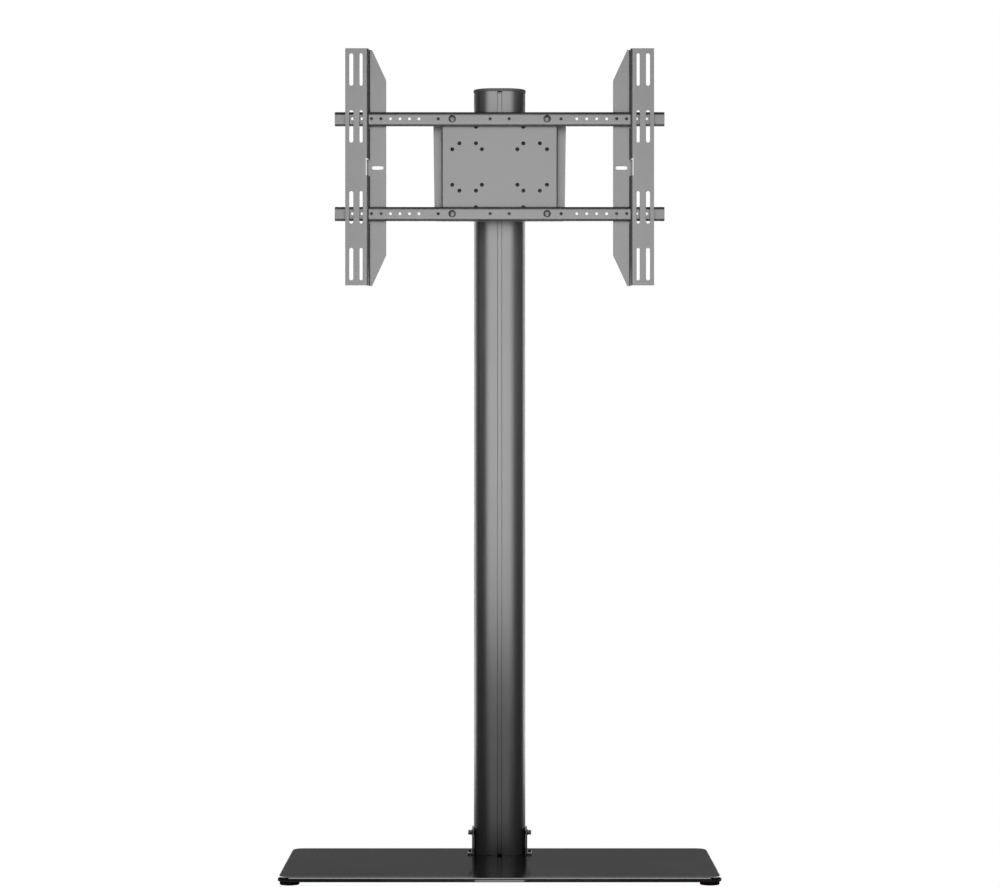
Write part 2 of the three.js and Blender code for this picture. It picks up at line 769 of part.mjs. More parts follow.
// Arm, drawn for the right-hand side: a face in front of the rails, a web that the rails pass
// through and a flange behind them.
function arm() {
  const webMiddle = armWeb + sheet / 2;
  const faceEnd = armWeb + armFaceWidth;
  const flangeEnd = armWeb + sheet - armFlangeWidth;
  const path = [
    [faceEnd, armFaceFront + sheet / 2],
    [webMiddle, armFaceFront + sheet / 2],
    [webMiddle, armFlangeBack - sheet / 2],
    [flangeEnd, armFlangeBack - sheet / 2],
  ];
  const bottom = armMiddle - armLength / 2;
  const top = armMiddle + armLength / 2;
  const front = armFaceFront - overrun;
  const behindFace = armFaceBack + overrun;
  const back = armFlangeBack + overrun;
  const bendLeft = armWeb - armFlangeRadius;
  const bendRight = armWeb + sheet + armFaceRadius;
  const windowFront = railFront - windowBefore;
  const tools = [];
  for (const [, z] of levels) {
    for (const middle of [slotNearMiddle, slotFarMiddle]) {
      const height = armMiddle + z * middle;
      const outer = slotShape(faceEnd - slotOuterInset, height, slotOuterWidth, slotLength);
      const inner = slotShape(faceEnd - slotInnerInset, height, slotInnerWidth, slotLength);
      tools.push(facing(outer, front, behindFace), facing(inner, front, behindFace));
    }
    const end = armMiddle + (z * armLength) / 2;
    const chamfer = new THREE.Shape();
    chamfer.moveTo(flangeEnd - overrun, end - z * armChamferLength);
    chamfer.lineTo(flangeEnd, end - z * armChamferLength);
    chamfer.lineTo(flangeEnd + armChamferWidth, end);
    chamfer.lineTo(flangeEnd + armChamferWidth, end + z * overrun);
    chamfer.lineTo(flangeEnd - overrun, end + z * overrun);
    chamfer.closePath();
    tools.push(facing(chamfer, armFlangeFront - overrun, back));
    const railMiddle = headMiddle + (z * railSpacing) / 2;
    const low = railMiddle - railHeight / 2 - windowBelow;
    const high = railMiddle + railHeight / 2 + seatGap;
    tools.push(block(bendLeft, bendRight, windowFront, armFlangeFront, low, high));
  }
  const flangeSlot = slotShape(flangeMiddle, armMiddle, flangeSlotLength, flangeSlotHeight);
  tools.push(facing(flangeSlot, armFlangeFront - overrun, back));
  const openingLow = armMiddle - webOpeningHeight / 2;
  const openingHigh = armMiddle + webOpeningHeight / 2;
  const faceEdge = armWeb + webOpeningReach;
  const tabEnd = armWeb + flangeTabReach;
  const tab = block(bendLeft - overrun, tabEnd, armFlangeFront, armFlangeBack, openingLow, openingHigh);
  tools.push(block(bendLeft, faceEdge, front, armFlangeFront, openingLow, openingHigh));
  tools.push(barY(flangeMiddle, lowerRail, smallHole, armFlangeFront - overrun, back));
  const bends = [armFaceRadius, armFlangeRadius];
  return cut(join([upright(bentSheet(path, sheet, bends), bottom, top), tab]), tools);
}

// Nut that the lock screw pulls against the lips of the lower rail.
const lockNutFront = railBack - railSheet - seatGap - lockNutThickness;

function lockNut() {
  const back = lockNutFront + lockNutThickness;
  const plate = block(
    flangeMiddle - lockNutLength / 2,
    flangeMiddle + lockNutLength / 2,
    lockNutFront,
    back,
    lowerRail - lockNutWidth / 2,
    lowerRail + lockNutWidth / 2,
  );
  return plate.subtract(barY(flangeMiddle, lowerRail, smallHole, lockNutFront - overrun, back + overrun));
}

// Nut that slides in the column's front slot. Its middle is on the Y axis.
const slotNutFront = columnFront + slotLip + seatGap;

function slotNut(middle) {
  const back = slotNutFront + slotNutThickness;
  const bottom = middle - slotNutLength / 2;
  const top = middle + slotNutLength / 2;
  const plate = block(-slotNutWidth / 2, slotNutWidth / 2, slotNutFront, back, bottom, top);
  return plate.subtract(barY(0, middle, largeHole, slotNutFront - overrun, back + overrun));
}

// Turns for a screw or nut, named by where its tip points
const tipUp = [0, 0, 0];
const tipDown = [Math.PI, 0, 0];
const tipBack = [-Math.PI / 2, 0, 0];
const tipFront = [Math.PI / 2, 0, 0];
const tipLeft = [0, -Math.PI / 2, 0];

function placed(mesh, place, turn) {
  mesh.position.set(...place);
  mesh.rotation.set(...turn);
  return mesh;
}

// A group for one side: the left-hand one is the mirror image of the right-hand one.
function sideGroup(sign) {
  const group = new THREE.Group();
  group.scale.x = sign;
  return group;
}

// Strips, front and back

function slotStrips() {
  const low = columnBottom + stripBottomGap;
  const high = columnTop - stripTopGap;
  const upper = slotStrip(headMiddle + stripOpenHalf, high);
  const lower = slotStrip(low, headMiddle - stripOpenHalf);
  const rear = piece("slot_strip_rear", slotStrip(low, high), "blackPlastic");
  return [
    piece("slot_strip_front_upper", upper, "blackPlastic"),
    piece("slot_strip_front_lower", lower, "blackPlastic"),
    placed(rear, [0, 2 * columnMiddle, 0], [0, 0, Math.PI]),
  ];
}

// Bracket with its bolts, washer and nut, drawn for the right-hand side
function bracketSet(name) {
  const height = baseTop + sideBoltHeight;
  const washerSeat = bracketInner + bracketThickness + seatGap;
  const washer = ring(washerDiameter, washerThickness, smallHole);
  const washerPiece = piece("bracket_washer_" + name, washer, "blackSteel");
  const boltSeat = washerSeat + washerThickness + seatGap;
  const nutSeat = hollowHalfWidth(smallNutAcross / Math.sqrt(3)) - seatGap;
  const bolt = capScrew(boltSeat - nutSeat + smallNutHeight + smallSpare);
  const boltPiece = piece("bracket_side_bolt_" + name, bolt, "blackSteel");
  const nutSolid = nut(smallNutAcross, smallNutHeight, smallHole);
  const nutPiece = piece("bracket_side_nut_" + name, nutSolid, "zincSteel");
  const baseBoltSeat = columnBottom + bracketThickness + seatGap;
  const baseBolt = socketScrew(
    baseBoltSeat - baseBottom - headRecess,
    baseBoltDiameter,
    baseBoltHeadDiameter,
    baseBoltHeadHeight,
    baseBoltSocket,
    baseBoltSocketDepth,
  );
  const baseBoltPiece = piece("bracket_base_bolt_" + name, baseBolt, "blackSteel");
  return [
    piece("foot_bracket_" + name, footBracket(), "powderCoat"),
    placed(boltPiece, [boltSeat, columnMiddle, height], tipLeft),
    placed(washerPiece, [washerSeat + washerThickness, columnMiddle, height], tipLeft),
    placed(nutPiece, [nutSeat, columnMiddle, height], tipLeft),
    placed(baseBoltPiece, [baseBoltX, columnMiddle, baseBoltSeat], tipDown),
  ];
}

// Foot of one corner, its screw and the column's screw, drawn for the right-hand side
function cornerSet(name, end) {
  const screwSeat = baseBottom + smallHeadHeight + headRecess - seatGap;
  const screw = capScrew(columnBottom + portReach - screwSeat);
  const screwPiece = piece("column_screw_" + name, screw, "blackSteel");
  const footScrewSeat = footHeadRecess + footHeadHeight;
  const footScrewPiece = piece("foot_screw_" + name, footScrew(), "zincSteel");
  return [
    placed(screwPiece, [portX, columnMiddle + end * portY, screwSeat], tipUp),
    placed(piece("foot_" + name, footPad(), "rubber"), [footX, end * footY, 0], tipUp),
    placed(footScrewPiece, [footX, end * footY, footScrewSeat], tipUp),
  ];
}

// Bolt and nut in the column's slot
function slotSet(name, level) {
  const height = headMiddle + (level * slotBoltPitch) / 2;
  const boltSeat = plateFront - seatGap;
  const bolt = domedBolt(slotNutFront + slotNutThickness - boltSeat);
  return [
    placed(piece("slot_bolt_" + name, bolt, "blackSteel"), [0, boltSeat, height], tipBack),
    piece("slot_nut_" + name, slotNut(height), "zincSteel"),
  ];
}

// Bolt and nut that hold a rail, and screw and nut that hold the adapter plate beside it
function railSet(name, sign, height) {
  const boltX = (sign * railBoltPitch) / 2;
  const boltSeat = railFront - seatGap;
  const boltNutSeat = adapterFront + sheet + seatGap;
  const bolt = domedBolt(boltNutSeat + largeNutHeight + largeBoltSpare - boltSeat);
  const boltNut = nut(largeNutAcross, largeNutHeight, largeHole);
  const screwX = sign * lipScrewX;
  const screwSeat = adapterBack - sheet - seatGap;
  const screwNutSeat = plateBack + seatGap;
  const screw = capScrew(screwNutSeat + smallNutHeight + smallSpare - screwSeat);
  const screwNut = nut(smallNutAcross, smallNutHeight, smallHole);
  return [
    placed(piece("rail_bolt_" + name, bolt, "blackSteel"), [boltX, boltSeat, height], tipBack),
    placed(piece("rail_nut_" + name, boltNut, "zincSteel"), [boltX, boltNutSeat, height], tipBack),
    placed(piece("adapter_screw_" + name, screw, "blackSteel"), [screwX, screwSeat, height], tipBack),
    placed(piece("adapter_nut_" + name, screwNut, "zincSteel"), [screwX, screwNutSeat, height], tipBack),
  ];
}

// Arm with its lock, drawn for the right-hand side
function armSet(name) {
  const screwSeat = armFlangeBack + seatGap;
  const screw = capScrew(screwSeat - lockNutFront + smallSpare);
  const screwPiece = piece("arm_lock_screw_" + name, screw, "blackSteel");
  return [
    piece("arm_" + name, arm(), "powderCoat"),
    placed(screwPiece, [flangeMiddle, screwSeat, lowerRail], tipFront),
    piece("arm_lock_nut_" + name, lockNut(), "zincSteel"),
  ];
}

const base = new THREE.Group();
base.add(piece("base_plate", basePlate(), "basePlateCoat"));
base.add(piece("column", column(), "anodised"));
base.add(piece("column_cap", columnCap(), "blackPlastic"));
base.add(...slotStrips());
for (const [sideName, sign] of sides) {
  const side = sideGroup(sign).add(...bracketSet(sideName));
  for (const [endName, end] of ends) side.add(...cornerSet(endName + "_" + sideName, end));
  base.add(side);
}

const head = new THREE.Group();
head.add(piece("column_plate", columnPlate(), "powderCoat"));
head.add(piece("adapter_plate", adapterPlate(), "powderCoat"));
for (const [levelName, level] of levels) {
  const height = headMiddle + (level * railSpacing) / 2;
  head.add(piece("rail_" + levelName, rail(height), "powderCoat"), ...slotSet(levelName, level));
  for (const [sideName, sign] of sides) {
    head.add(...railSet(levelName + "_" + sideName, sign, height));
  }
}

const arms = new THREE.Group();
for (const [sideName, sign] of sides) arms.add(sideGroup(sign).add(...armSet(sideName)));

const stand = new THREE.Group().add(base, head, arms);

export default stand;
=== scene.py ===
import json
import math
from contextlib import contextmanager

import bmesh
import bpy
from mathutils import Matrix, Vector

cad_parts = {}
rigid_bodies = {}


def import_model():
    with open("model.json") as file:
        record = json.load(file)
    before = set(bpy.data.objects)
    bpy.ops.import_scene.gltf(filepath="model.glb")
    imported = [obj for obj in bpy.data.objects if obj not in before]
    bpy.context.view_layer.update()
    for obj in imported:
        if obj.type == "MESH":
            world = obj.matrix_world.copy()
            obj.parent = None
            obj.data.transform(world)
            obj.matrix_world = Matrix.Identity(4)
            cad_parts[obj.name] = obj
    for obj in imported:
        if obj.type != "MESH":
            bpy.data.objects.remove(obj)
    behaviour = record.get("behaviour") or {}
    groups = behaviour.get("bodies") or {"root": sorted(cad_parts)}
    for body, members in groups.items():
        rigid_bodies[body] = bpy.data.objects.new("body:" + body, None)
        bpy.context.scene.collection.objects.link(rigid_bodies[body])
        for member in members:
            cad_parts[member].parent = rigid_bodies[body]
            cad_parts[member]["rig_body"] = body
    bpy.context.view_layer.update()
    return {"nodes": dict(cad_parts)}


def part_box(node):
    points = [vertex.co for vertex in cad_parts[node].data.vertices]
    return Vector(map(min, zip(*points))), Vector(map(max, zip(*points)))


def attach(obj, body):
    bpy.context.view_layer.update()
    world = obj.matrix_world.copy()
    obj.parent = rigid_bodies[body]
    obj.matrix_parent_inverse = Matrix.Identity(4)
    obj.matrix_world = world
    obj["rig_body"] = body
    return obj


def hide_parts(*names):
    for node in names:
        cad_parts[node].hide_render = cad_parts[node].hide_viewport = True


# Floor stand for a flat screen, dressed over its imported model. Metres, +Z up, front towards -Y.
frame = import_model()

MM = 0.001
TINY = 1e-6
NEAR = 0.1 * MM

# Edges sharper than this, in degrees, stay sharp in the shading of flat and of round pieces
SHARP_ANGLE = 32
ROUND_ANGLE = 30

# Sheet, bends and edges
SHEET = 2.5 * MM
RAIL_SHEET = 2 * MM
BRACKET_SHEET = 3.5 * MM
PLATE_SHEET = 4 * MM
BEND = 1.5 * MM
RAIL_FRONT_BEND = 6.5 * MM
ARM_FACE_BEND = 5 * MM
ARM_FLANGE_BEND = 4 * MM
BEND_STEPS = 6
RIM = 0.35 * MM
RIM_STEPS = 2
OVERRUN = 2 * MM
BIT_OVERRUN = 0.5 * MM
HOLE_SIDES = 32
CORNER_STEPS = 20

# Base plate and its pads
BASE_CORNER = 25 * MM
BASE_UPPER_EDGE = 5 * MM
BASE_LOWER_EDGE = 1 * MM
COUNTERBORE = 5.5 * MM
COUNTERBORE_DEPTH = 6.5 * MM
BASE_HOLE = 3.3 * MM
PAD_HOLE_DEPTH = 7 * MM
PAD_EDGE = 1.5 * MM
PAD_UPPER_EDGE = 0.3 * MM
PAD_BORE = 3.3 * MM
PAD_RECESS = 6.5 * MM
PAD_RECESS_DEPTH = 4.3 * MM
PAD_STEPS = 64
PAD_RIBS = 3
PAD_RIB_DEPTH = 0.5 * MM
# A rib's outline up the pad's side: the share of its height, and the depth behind the side
PAD_RIB_SHAPE = [(0.55, 0), (0.65, PAD_RIB_DEPTH), (0.85, PAD_RIB_DEPTH), (0.95, 0)]

# Column
COLUMN_FLAT = 30 * MM
COLUMN_WALL = 3 * MM
OVAL_POINTS = 96
COLUMN_EDGE = 0.4 * MM
SLOT_MOUTH = 10 * MM
SLOT_LIP = 3.5 * MM
SLOT_WALL = 2.5 * MM
CHANNEL_WIDTH = 19.2 * MM
CHANNEL_DEPTH = 6.9 * MM
PORT_X = 38 * MM
PORT_Y = 24 * MM
PORT_HOLE = 3.3 * MM
PORT_WALL = 2.5 * MM
CAP_EDGE = 1.2 * MM
CAP_LOWER_EDGE = 0.4 * MM
CAP_LID = 6 * MM
PLUG_GAP = 0.6 * MM
PLUG_WIDTH = 12 * MM
PLUG_HALF_DEPTH = 18 * MM
STRIP_GAP = 0.85 * MM
STRIP_HOOK = 1.5 * MM
STRIP_EDGE = 0.3 * MM

# Foot brackets
BRACKET_UPPER_CORNER = 4 * MM
BRACKET_FOOT_CORNER = 3 * MM
BRACKET_EDGE = 0.45 * MM

# Holes for fasteners
SMALL_HOLE = 3.3 * MM
BASE_BOLT_HOLE = 2.3 * MM
LARGE_HOLE = 4.3 * MM

# Screws: radius and height of the head, radius of the shank, width of the socket
DOMED_BOLT = (7.75 * MM, 4.4 * MM, 4 * MM, 5 * MM)
CAP_SCREW = (5 * MM, 6 * MM, 3 * MM, 5 * MM)
PAD_SCREW = (6 * MM, 3 * MM, 3 * MM, 5 * MM)
BASE_BOLT = (3.5 * MM, 4 * MM, 2 * MM, 3 * MM)

# Nuts: width across the flats, height, radius of the hole
LARGE_NUT = (13 * MM, 6.5 * MM, LARGE_HOLE)
SMALL_NUT = (10 * MM, 5 * MM, SMALL_HOLE)

# Details of screws, nuts and washers. A head higher than KNURLED_ABOVE has knurls on its side, and
# their grooves lie at KNURL_SHARE of its radius.
DOME_RIM = 1 * MM
DOME_LOWER_EDGE = 0.25 * MM
DOME_STEPS = 8
HEAD_EDGE = 0.4 * MM
KNURLS = 36
KNURLED_ABOVE = 3 * MM
KNURL_SHARE = 0.955
GRIP_ABOVE = 0.8 * MM
GRIP_BELOW = 1.2 * MM
SOCKET_SHARE = 0.45
PLAIN_SHANK = 1 * MM
TIP = 0.8 * MM
TIP_STEP = 0.1 * MM
THREAD_PITCH = 1 * MM
THREAD_DEPTH = 0.35 * MM
THREAD_CREST = 0.15
THREAD_ROOT = 0.65
NUT_EDGE = 0.5 * MM
WASHER_EDGE = 0.3 * MM
TURN_STEPS = 40

# Head, with the places of the holes in millimetres
CLAMP_CORNER = 3 * MM
LIP = 18 * MM
LIP_TAPER = 3 * MM
SCREEN_HOLE = 4 * MM
SCREEN_PATTERNS = [(50, 50), (37.5, 37.5), (85, 50), (100, 37.5), (50, 85), (37.5, 100)]
BOLT_X = 100
LIP_SCREW_X = 129.5
RAIL_LIP = 8 * MM
RAIL_HOLE = 3 * MM
RAIL_HOLES = [-20, 20, -LIP_SCREW_X, LIP_SCREW_X]
RAIL_HOLES += [-170 - 20 * i for i in range(8)] + [162.5 + 21 * i for i in range(8)]

# Arms, with the slots' places in millimetres: their heights from the middle, and for each column of
# slots its distance from the outer edge and its radius
ARM_WEB = 275.5 * MM
ARM_SLOTS = [-204.75, -85.25, 85.25, 204.75]
ARM_SLOT_LENGTH = 68.5 * MM
ARM_SLOTS_ACROSS = [(12.8, 4.25), (33.5, 3.3)]
ARM_CHAMFER = (30 * MM, 65 * MM)
FLANGE_SLOT = (24.5 * MM, 3.7 * MM)
WEB_OPENING = 18 * MM
OPENING_REACH = 6 * MM
TAB_REACH = 5.5 * MM
WINDOW_BELOW = 4.5 * MM
WINDOW_ABOVE = 0.3 * MM
WINDOW_BEFORE = 1.5 * MM


# Modelling by hand

def only(piece):
    """Makes a piece the only one that is selected."""
    bpy.ops.object.select_all(action="DESELECT")
    piece.select_set(True)
    bpy.context.view_layer.objects.active = piece


def fresh(name):
    """Names the primitive that was just added."""
    piece = bpy.context.active_object
    piece.name = name
    piece.data.name = name
    return piece


def rest(piece):
    """Puts a piece's place, turn and scale into its mesh."""
    only(piece)
    bpy.ops.object.transform_apply(location=True, rotation=True, scale=True)
    return piece


@contextmanager
def editing(piece, kind="EDGE"):
    only(piece)
    bpy.ops.object.mode_set(mode="EDIT")
    bpy.ops.mesh.select_mode(type=kind)
    bpy.ops.mesh.select_all(action="DESELECT")
    yield
    bpy.ops.object.mode_set(mode="OBJECT")


def pick(piece, test, kind="edges"):
    """In edit mode, selects the points, edges or faces that pass a test, and nothing else."""
    bpy.ops.mesh.select_all(action="DESELECT")
    mesh = bmesh.from_edit_mesh(piece.data)
    for item in getattr(mesh, kind):
        if test(item):
            item.select_set(True)
    mesh.select_flush_mode()
    bmesh.update_edit_mesh(piece.data)


def extrude(move):
    bpy.ops.mesh.extrude_region_move(TRANSFORM_OT_translate={"value": move})


def finish_with(piece, kind, **settings):
    """Adds a modifier and applies it."""
    only(piece)
    modifier = piece.modifiers.new(kind.lower(), kind)
    for key, value in settings.items():
        setattr(modifier, key, value)
    bpy.ops.object.modifier_apply(modifier=modifier.name)
    return piece


def soften(piece, width=RIM, steps=RIM_STEPS, angle=45):
    """Breaks every sharp edge of a piece."""
    return finish_with(
        piece, "BEVEL", width=width, segments=steps, limit_method="ANGLE",
        angle_limit=math.radians(angle), use_clamp_overlap=True,
    )


def combine(pieces):
    """Several pieces as one mesh, not welded."""
    only(pieces[0])
    for piece in pieces[1:]:
        piece.select_set(True)
    if len(pieces) > 1:
        bpy.ops.object.join()
    return pieces[0]


def carve(piece, tools, how="DIFFERENCE", crossing=False):
    """Cuts the tools out of a piece, or welds or keeps what they share, and puts the tools away.
    Crossing says that the tools run into each other."""
    tool = combine(tools)
    finish_with(piece, "BOOLEAN", operation=how, solver="EXACT", use_self=crossing, object=tool)
    bpy.data.objects.remove(tool)
    return piece


def weld(piece, others):
    for other in others:
        carve(piece, [other], "UNION")
    return piece


def twin(piece, name, move=(0, 0, 0)):
    """A copy with its own mesh, moved from where the first one is."""
    only(piece)
    bpy.ops.object.duplicate(linked=False)
    bpy.ops.transform.translate(value=move)
    return rest(fresh(name))


def mirrored(piece, name):
    """The piece's mirror image on the other side of the middle."""
    only(piece)
    bpy.ops.object.duplicate(linked=False)
    copy = fresh(name)
    copy.scale.x = -1
    rest(copy)
    with editing(copy, "FACE"):
        bpy.ops.mesh.select_all(action="SELECT")
        bpy.ops.mesh.normals_make_consistent(inside=False)
    return copy


def block(name, low, high):
    middle = [(a + b) / 2 for a, b in zip(low, high)]
    sides = [b - a for a, b in zip(low, high)]
    bpy.ops.object.select_all(action="DESELECT")
    bpy.ops.mesh.primitive_cube_add(size=1, location=middle, scale=sides)
    return rest(fresh(name))


TURNS = {
    "up": Matrix.Identity(4),
    "down": Matrix.Rotation(math.pi, 4, "X"),
    "back": Matrix.Rotation(-math.pi / 2, 4, "X"),
    "front": Matrix.Rotation(math.pi / 2, 4, "X"),
    "right": Matrix.Rotation(math.pi / 2, 4, "Y"),
    "left": Matrix.Rotation(-math.pi / 2, 4, "Y"),
}


def set_at(piece, place, way="up"):
    """Turns a piece that was made along +Z to point the given way, and sets its origin at a place."""
    piece.matrix_world = Matrix.Translation(place) @ TURNS[way]
    return rest(piece)


def first_point(name, place):
    """A mesh of one point, left in edit mode with the point selected."""
    bpy.ops.object.select_all(action="DESELECT")
    bpy.ops.mesh.primitive_plane_add(size=MM)
    piece = fresh(name)
    bpy.ops.object.mode_set(mode="EDIT")
    bpy.ops.mesh.select_mode(type="VERT")
    bpy.ops.mesh.select_all(action="SELECT")
    bpy.ops.mesh.merge(type="CENTER")
    bpy.ops.transform.translate(value=place)
    return piece


def turned(name, profile, steps=TURN_STEPS):
    """A round piece spun about the Z axis from a profile of (radius, height) points."""
    radius, height = profile[0]
    piece = first_point(name, (radius, 0, height))
    for (r0, z0), (r1, z1) in zip(profile, profile[1:]):
        step = (r1 - r0, 0, z1 - z0)
        bpy.ops.mesh.extrude_vertices_move(TRANSFORM_OT_translate={"value": step})
    bpy.ops.mesh.select_all(action="SELECT")
    bpy.ops.mesh.spin(steps=steps, angle=2 * math.pi, center=(0, 0, 0), axis=(0, 0, 1))
    bpy.ops.mesh.select_all(action="SELECT")
    bpy.ops.mesh.remove_doubles(threshold=TINY)
    bpy.ops.mesh.normals_make_consistent(inside=False)
    bpy.ops.object.mode_set(mode="OBJECT")
    return piece


def bent_sheet(name, corners, start, stop, thickness, radii):
    """A folded sheet: its section's middle line lies in X and Y, and it runs along Z. Each fold has
    its inside radius."""
    (x, y) = corners[0]
    piece = first_point(name, (x, y, start))
    run = (0, 0, stop - start)
    bpy.ops.mesh.extrude_vertices_move(TRANSFORM_OT_translate={"value": run})
    bpy.ops.mesh.select_all(action="SELECT")
    bpy.ops.mesh.select_mode(type="EDGE")
    for (x0, y0), (x1, y1) in zip(corners, corners[1:]):
        extrude((x1 - x0, y1 - y0, 0))
    for radius in sorted(set(radii)):
        folds = [Vector(c) for c, r in zip(corners[1:-1], radii) if r == radius]
        pick(piece, lambda edge: is_along(edge, 2) and near_any(edge.verts[0].co.xy, folds))
        reach = radius + thickness / 2
        bpy.ops.mesh.bevel(offset=reach, offset_type="OFFSET", segments=BEND_STEPS, affect="EDGES")
    bpy.ops.object.mode_set(mode="OBJECT")
    return finish_with(piece, "SOLIDIFY", thickness=thickness, offset=0, use_even_offset=True)


def is_along(edge, axis):
    """True for an edge that runs along one axis only."""
    step = edge.verts[1].co - edge.verts[0].co
    return all(abs(step[i]) < TINY for i in range(3) if i != axis) and abs(step[axis]) > TINY


def near_any(point, places):
    return any((point - place).length < NEAR for place in places)


ALONG_X = Matrix(((0, 0, 1, 0), (1, 0, 0, 0), (0, 1, 0, 0), (0, 0, 0, 1)))
ALONG_Y = Matrix(((1, 0, 0, 0), (0, 0, -1, 0), (0, 1, 0, 0), (0, 0, 0, 1)))


def lay(piece, way):
    """Turns a section drawn in X and Y to run along another axis."""
    piece.matrix_world = way
    return rest(piece)


def drill_bit(radius, thickness, flare=RIM, length=0.0, sides=HOLE_SIDES):
    """A cutter for a hole in a sheet, wider at both faces so that the rim is broken.
    A length makes the hole a slot along Y."""
    bpy.ops.object.select_all(action="DESELECT")
    bpy.ops.mesh.primitive_cylinder_add(vertices=sides, radius=radius, depth=thickness - 2 * flare)
    bit = fresh("drill_bit")
    bit.rotation_euler.z = math.pi / sides
    rest(bit)
    with editing(bit, "FACE"):
        for end in (-1, 1):
            pick(bit, lambda face: face.normal.z * end > 0.9, "faces")
            if flare:
                extrude((0, 0, end * flare))
                wider = (radius + flare) / radius
                bpy.ops.transform.resize(value=(wider, wider, 1), center_override=(0, 0, 0))
            extrude((0, 0, end * BIT_OVERRUN))
        if length:
            for end in (-1, 1):
                pick(bit, lambda point: point.co.y * end > 0, "verts")
                bpy.ops.transform.translate(value=(0, end * (length / 2 - radius), 0))
    return bit


def drill(piece, bit, places, way="back"):
    """Cuts a hole with its own copy of the bit at each place."""
    bits = []
    for place in places:
        copy = twin(bit, "bit")
        bits.append(set_at(copy, place, way))
    bpy.data.objects.remove(bit)
    return carve(piece, bits)


def smooth(piece, angle=SHARP_ANGLE):
    only(piece)
    bpy.ops.object.shade_smooth_by_angle(angle=math.radians(angle))
    finish_with(piece, "WEIGHTED_NORMAL", keep_sharp=True, weight=50)


def dress(piece, node, slot, angle=SHARP_ANGLE):
    """Finishes a piece: shading, material, the body it rides on and the node it stands for."""
    smooth(piece, angle)
    piece.data.materials.clear()
    piece.data.materials.append(finishes[slot])
    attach(piece, frame["nodes"][node]["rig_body"])
    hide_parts(node)
    return piece


def centre(node):
    low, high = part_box(node)
    return (low + high) / 2


# Finishes

def group(name, inputs, outputs):
    """A shader node group with its sockets, and its two ends."""
    tree = bpy.data.node_groups.new(name, "ShaderNodeTree")
    for label, kind, value in inputs:
        socket = tree.interface.new_socket(name=label, in_out="INPUT", socket_type=kind)
        if value is not None:
            socket.default_value = value
    for label, kind in outputs:
        tree.interface.new_socket(name=label, in_out="OUTPUT", socket_type=kind)
    return tree, tree.nodes.new("NodeGroupInput"), tree.nodes.new("NodeGroupOutput")


def node(tree, kind, settings=None, links=None, **values):
    """Adds a node, sets its properties, its unlinked sockets and its links."""
    made = tree.nodes.new(kind)
    for key, value in (settings or {}).items():
        setattr(made, key, value)
    for key, value in values.items():
        made.inputs[key.replace("_", " ")].default_value = value
    for key, source in (links or {}).items():
        tree.links.new(source, made.inputs[key])
    return made


def ranged(tree, source, low, high, start=0.0, stop=1.0):
    """Spreads a value between start and stop over low to high."""
    made = node(tree, "ShaderNodeMapRange", links={"Value": source})
    made.inputs["From Min"].default_value = start
    made.inputs["From Max"].default_value = stop
    made.inputs["To Min"].default_value = low
    made.inputs["To Max"].default_value = high
    return made.outputs["Result"]


FLOAT = "NodeSocketFloat"
VECTOR = "NodeSocketVector"
PEBBLE_SHARE = -0.35
STREAK_SCALE = 0.12


def make_coat_skin():
    """The skin of a baked powder coat: slow waves with a fine pebble on them."""
    tree, given, out = group(
        "coat_skin",
        [("Position", VECTOR, None), ("Wave size", FLOAT, 400.0), ("Pebble size", FLOAT, 1500.0)],
        [("Height", FLOAT), ("Specks", FLOAT)],
    )
    where = given.outputs["Position"]
    coarse = {"Vector": where, "Scale": given.outputs["Wave size"]}
    fine = {"Vector": where, "Scale": given.outputs["Pebble size"]}
    waves = node(tree, "ShaderNodeTexNoise", links=coarse, Detail=2.0, Roughness=0.5)
    pebble = node(tree, "ShaderNodeTexVoronoi", {"feature": "SMOOTH_F1"}, fine)
    height = node(tree, "ShaderNodeMath", {"operation": "MULTIPLY_ADD"},
                  {0: pebble.outputs["Distance"], 2: waves.outputs["Fac"]})
    height.inputs[1].default_value = PEBBLE_SHARE
    specks = node(tree, "ShaderNodeTexNoise", links=fine, Detail=3.0, Roughness=0.65)
    tree.links.new(height.outputs[0], out.inputs["Height"])
    tree.links.new(ranged(tree, specks.outputs["Fac"], 0, 1, 0.52, 0.75), out.inputs["Specks"])
    return tree


def make_handling():
    """Soft patches where hands and cloths have been, from 0 to 1."""
    tree, given, out = group(
        "handling", [("Position", VECTOR, None), ("Patch size", FLOAT, 9.0)], [("Mask", FLOAT)],
    )
    patches = node(tree, "ShaderNodeTexNoise",
                   links={"Vector": given.outputs["Position"], "Scale": given.outputs["Patch size"]},
                   Detail=4.0, Roughness=0.6, Distortion=0.6)
    tree.links.new(ranged(tree, patches.outputs["Fac"], 0, 1, 0.35, 0.7), out.inputs["Mask"])
    return tree


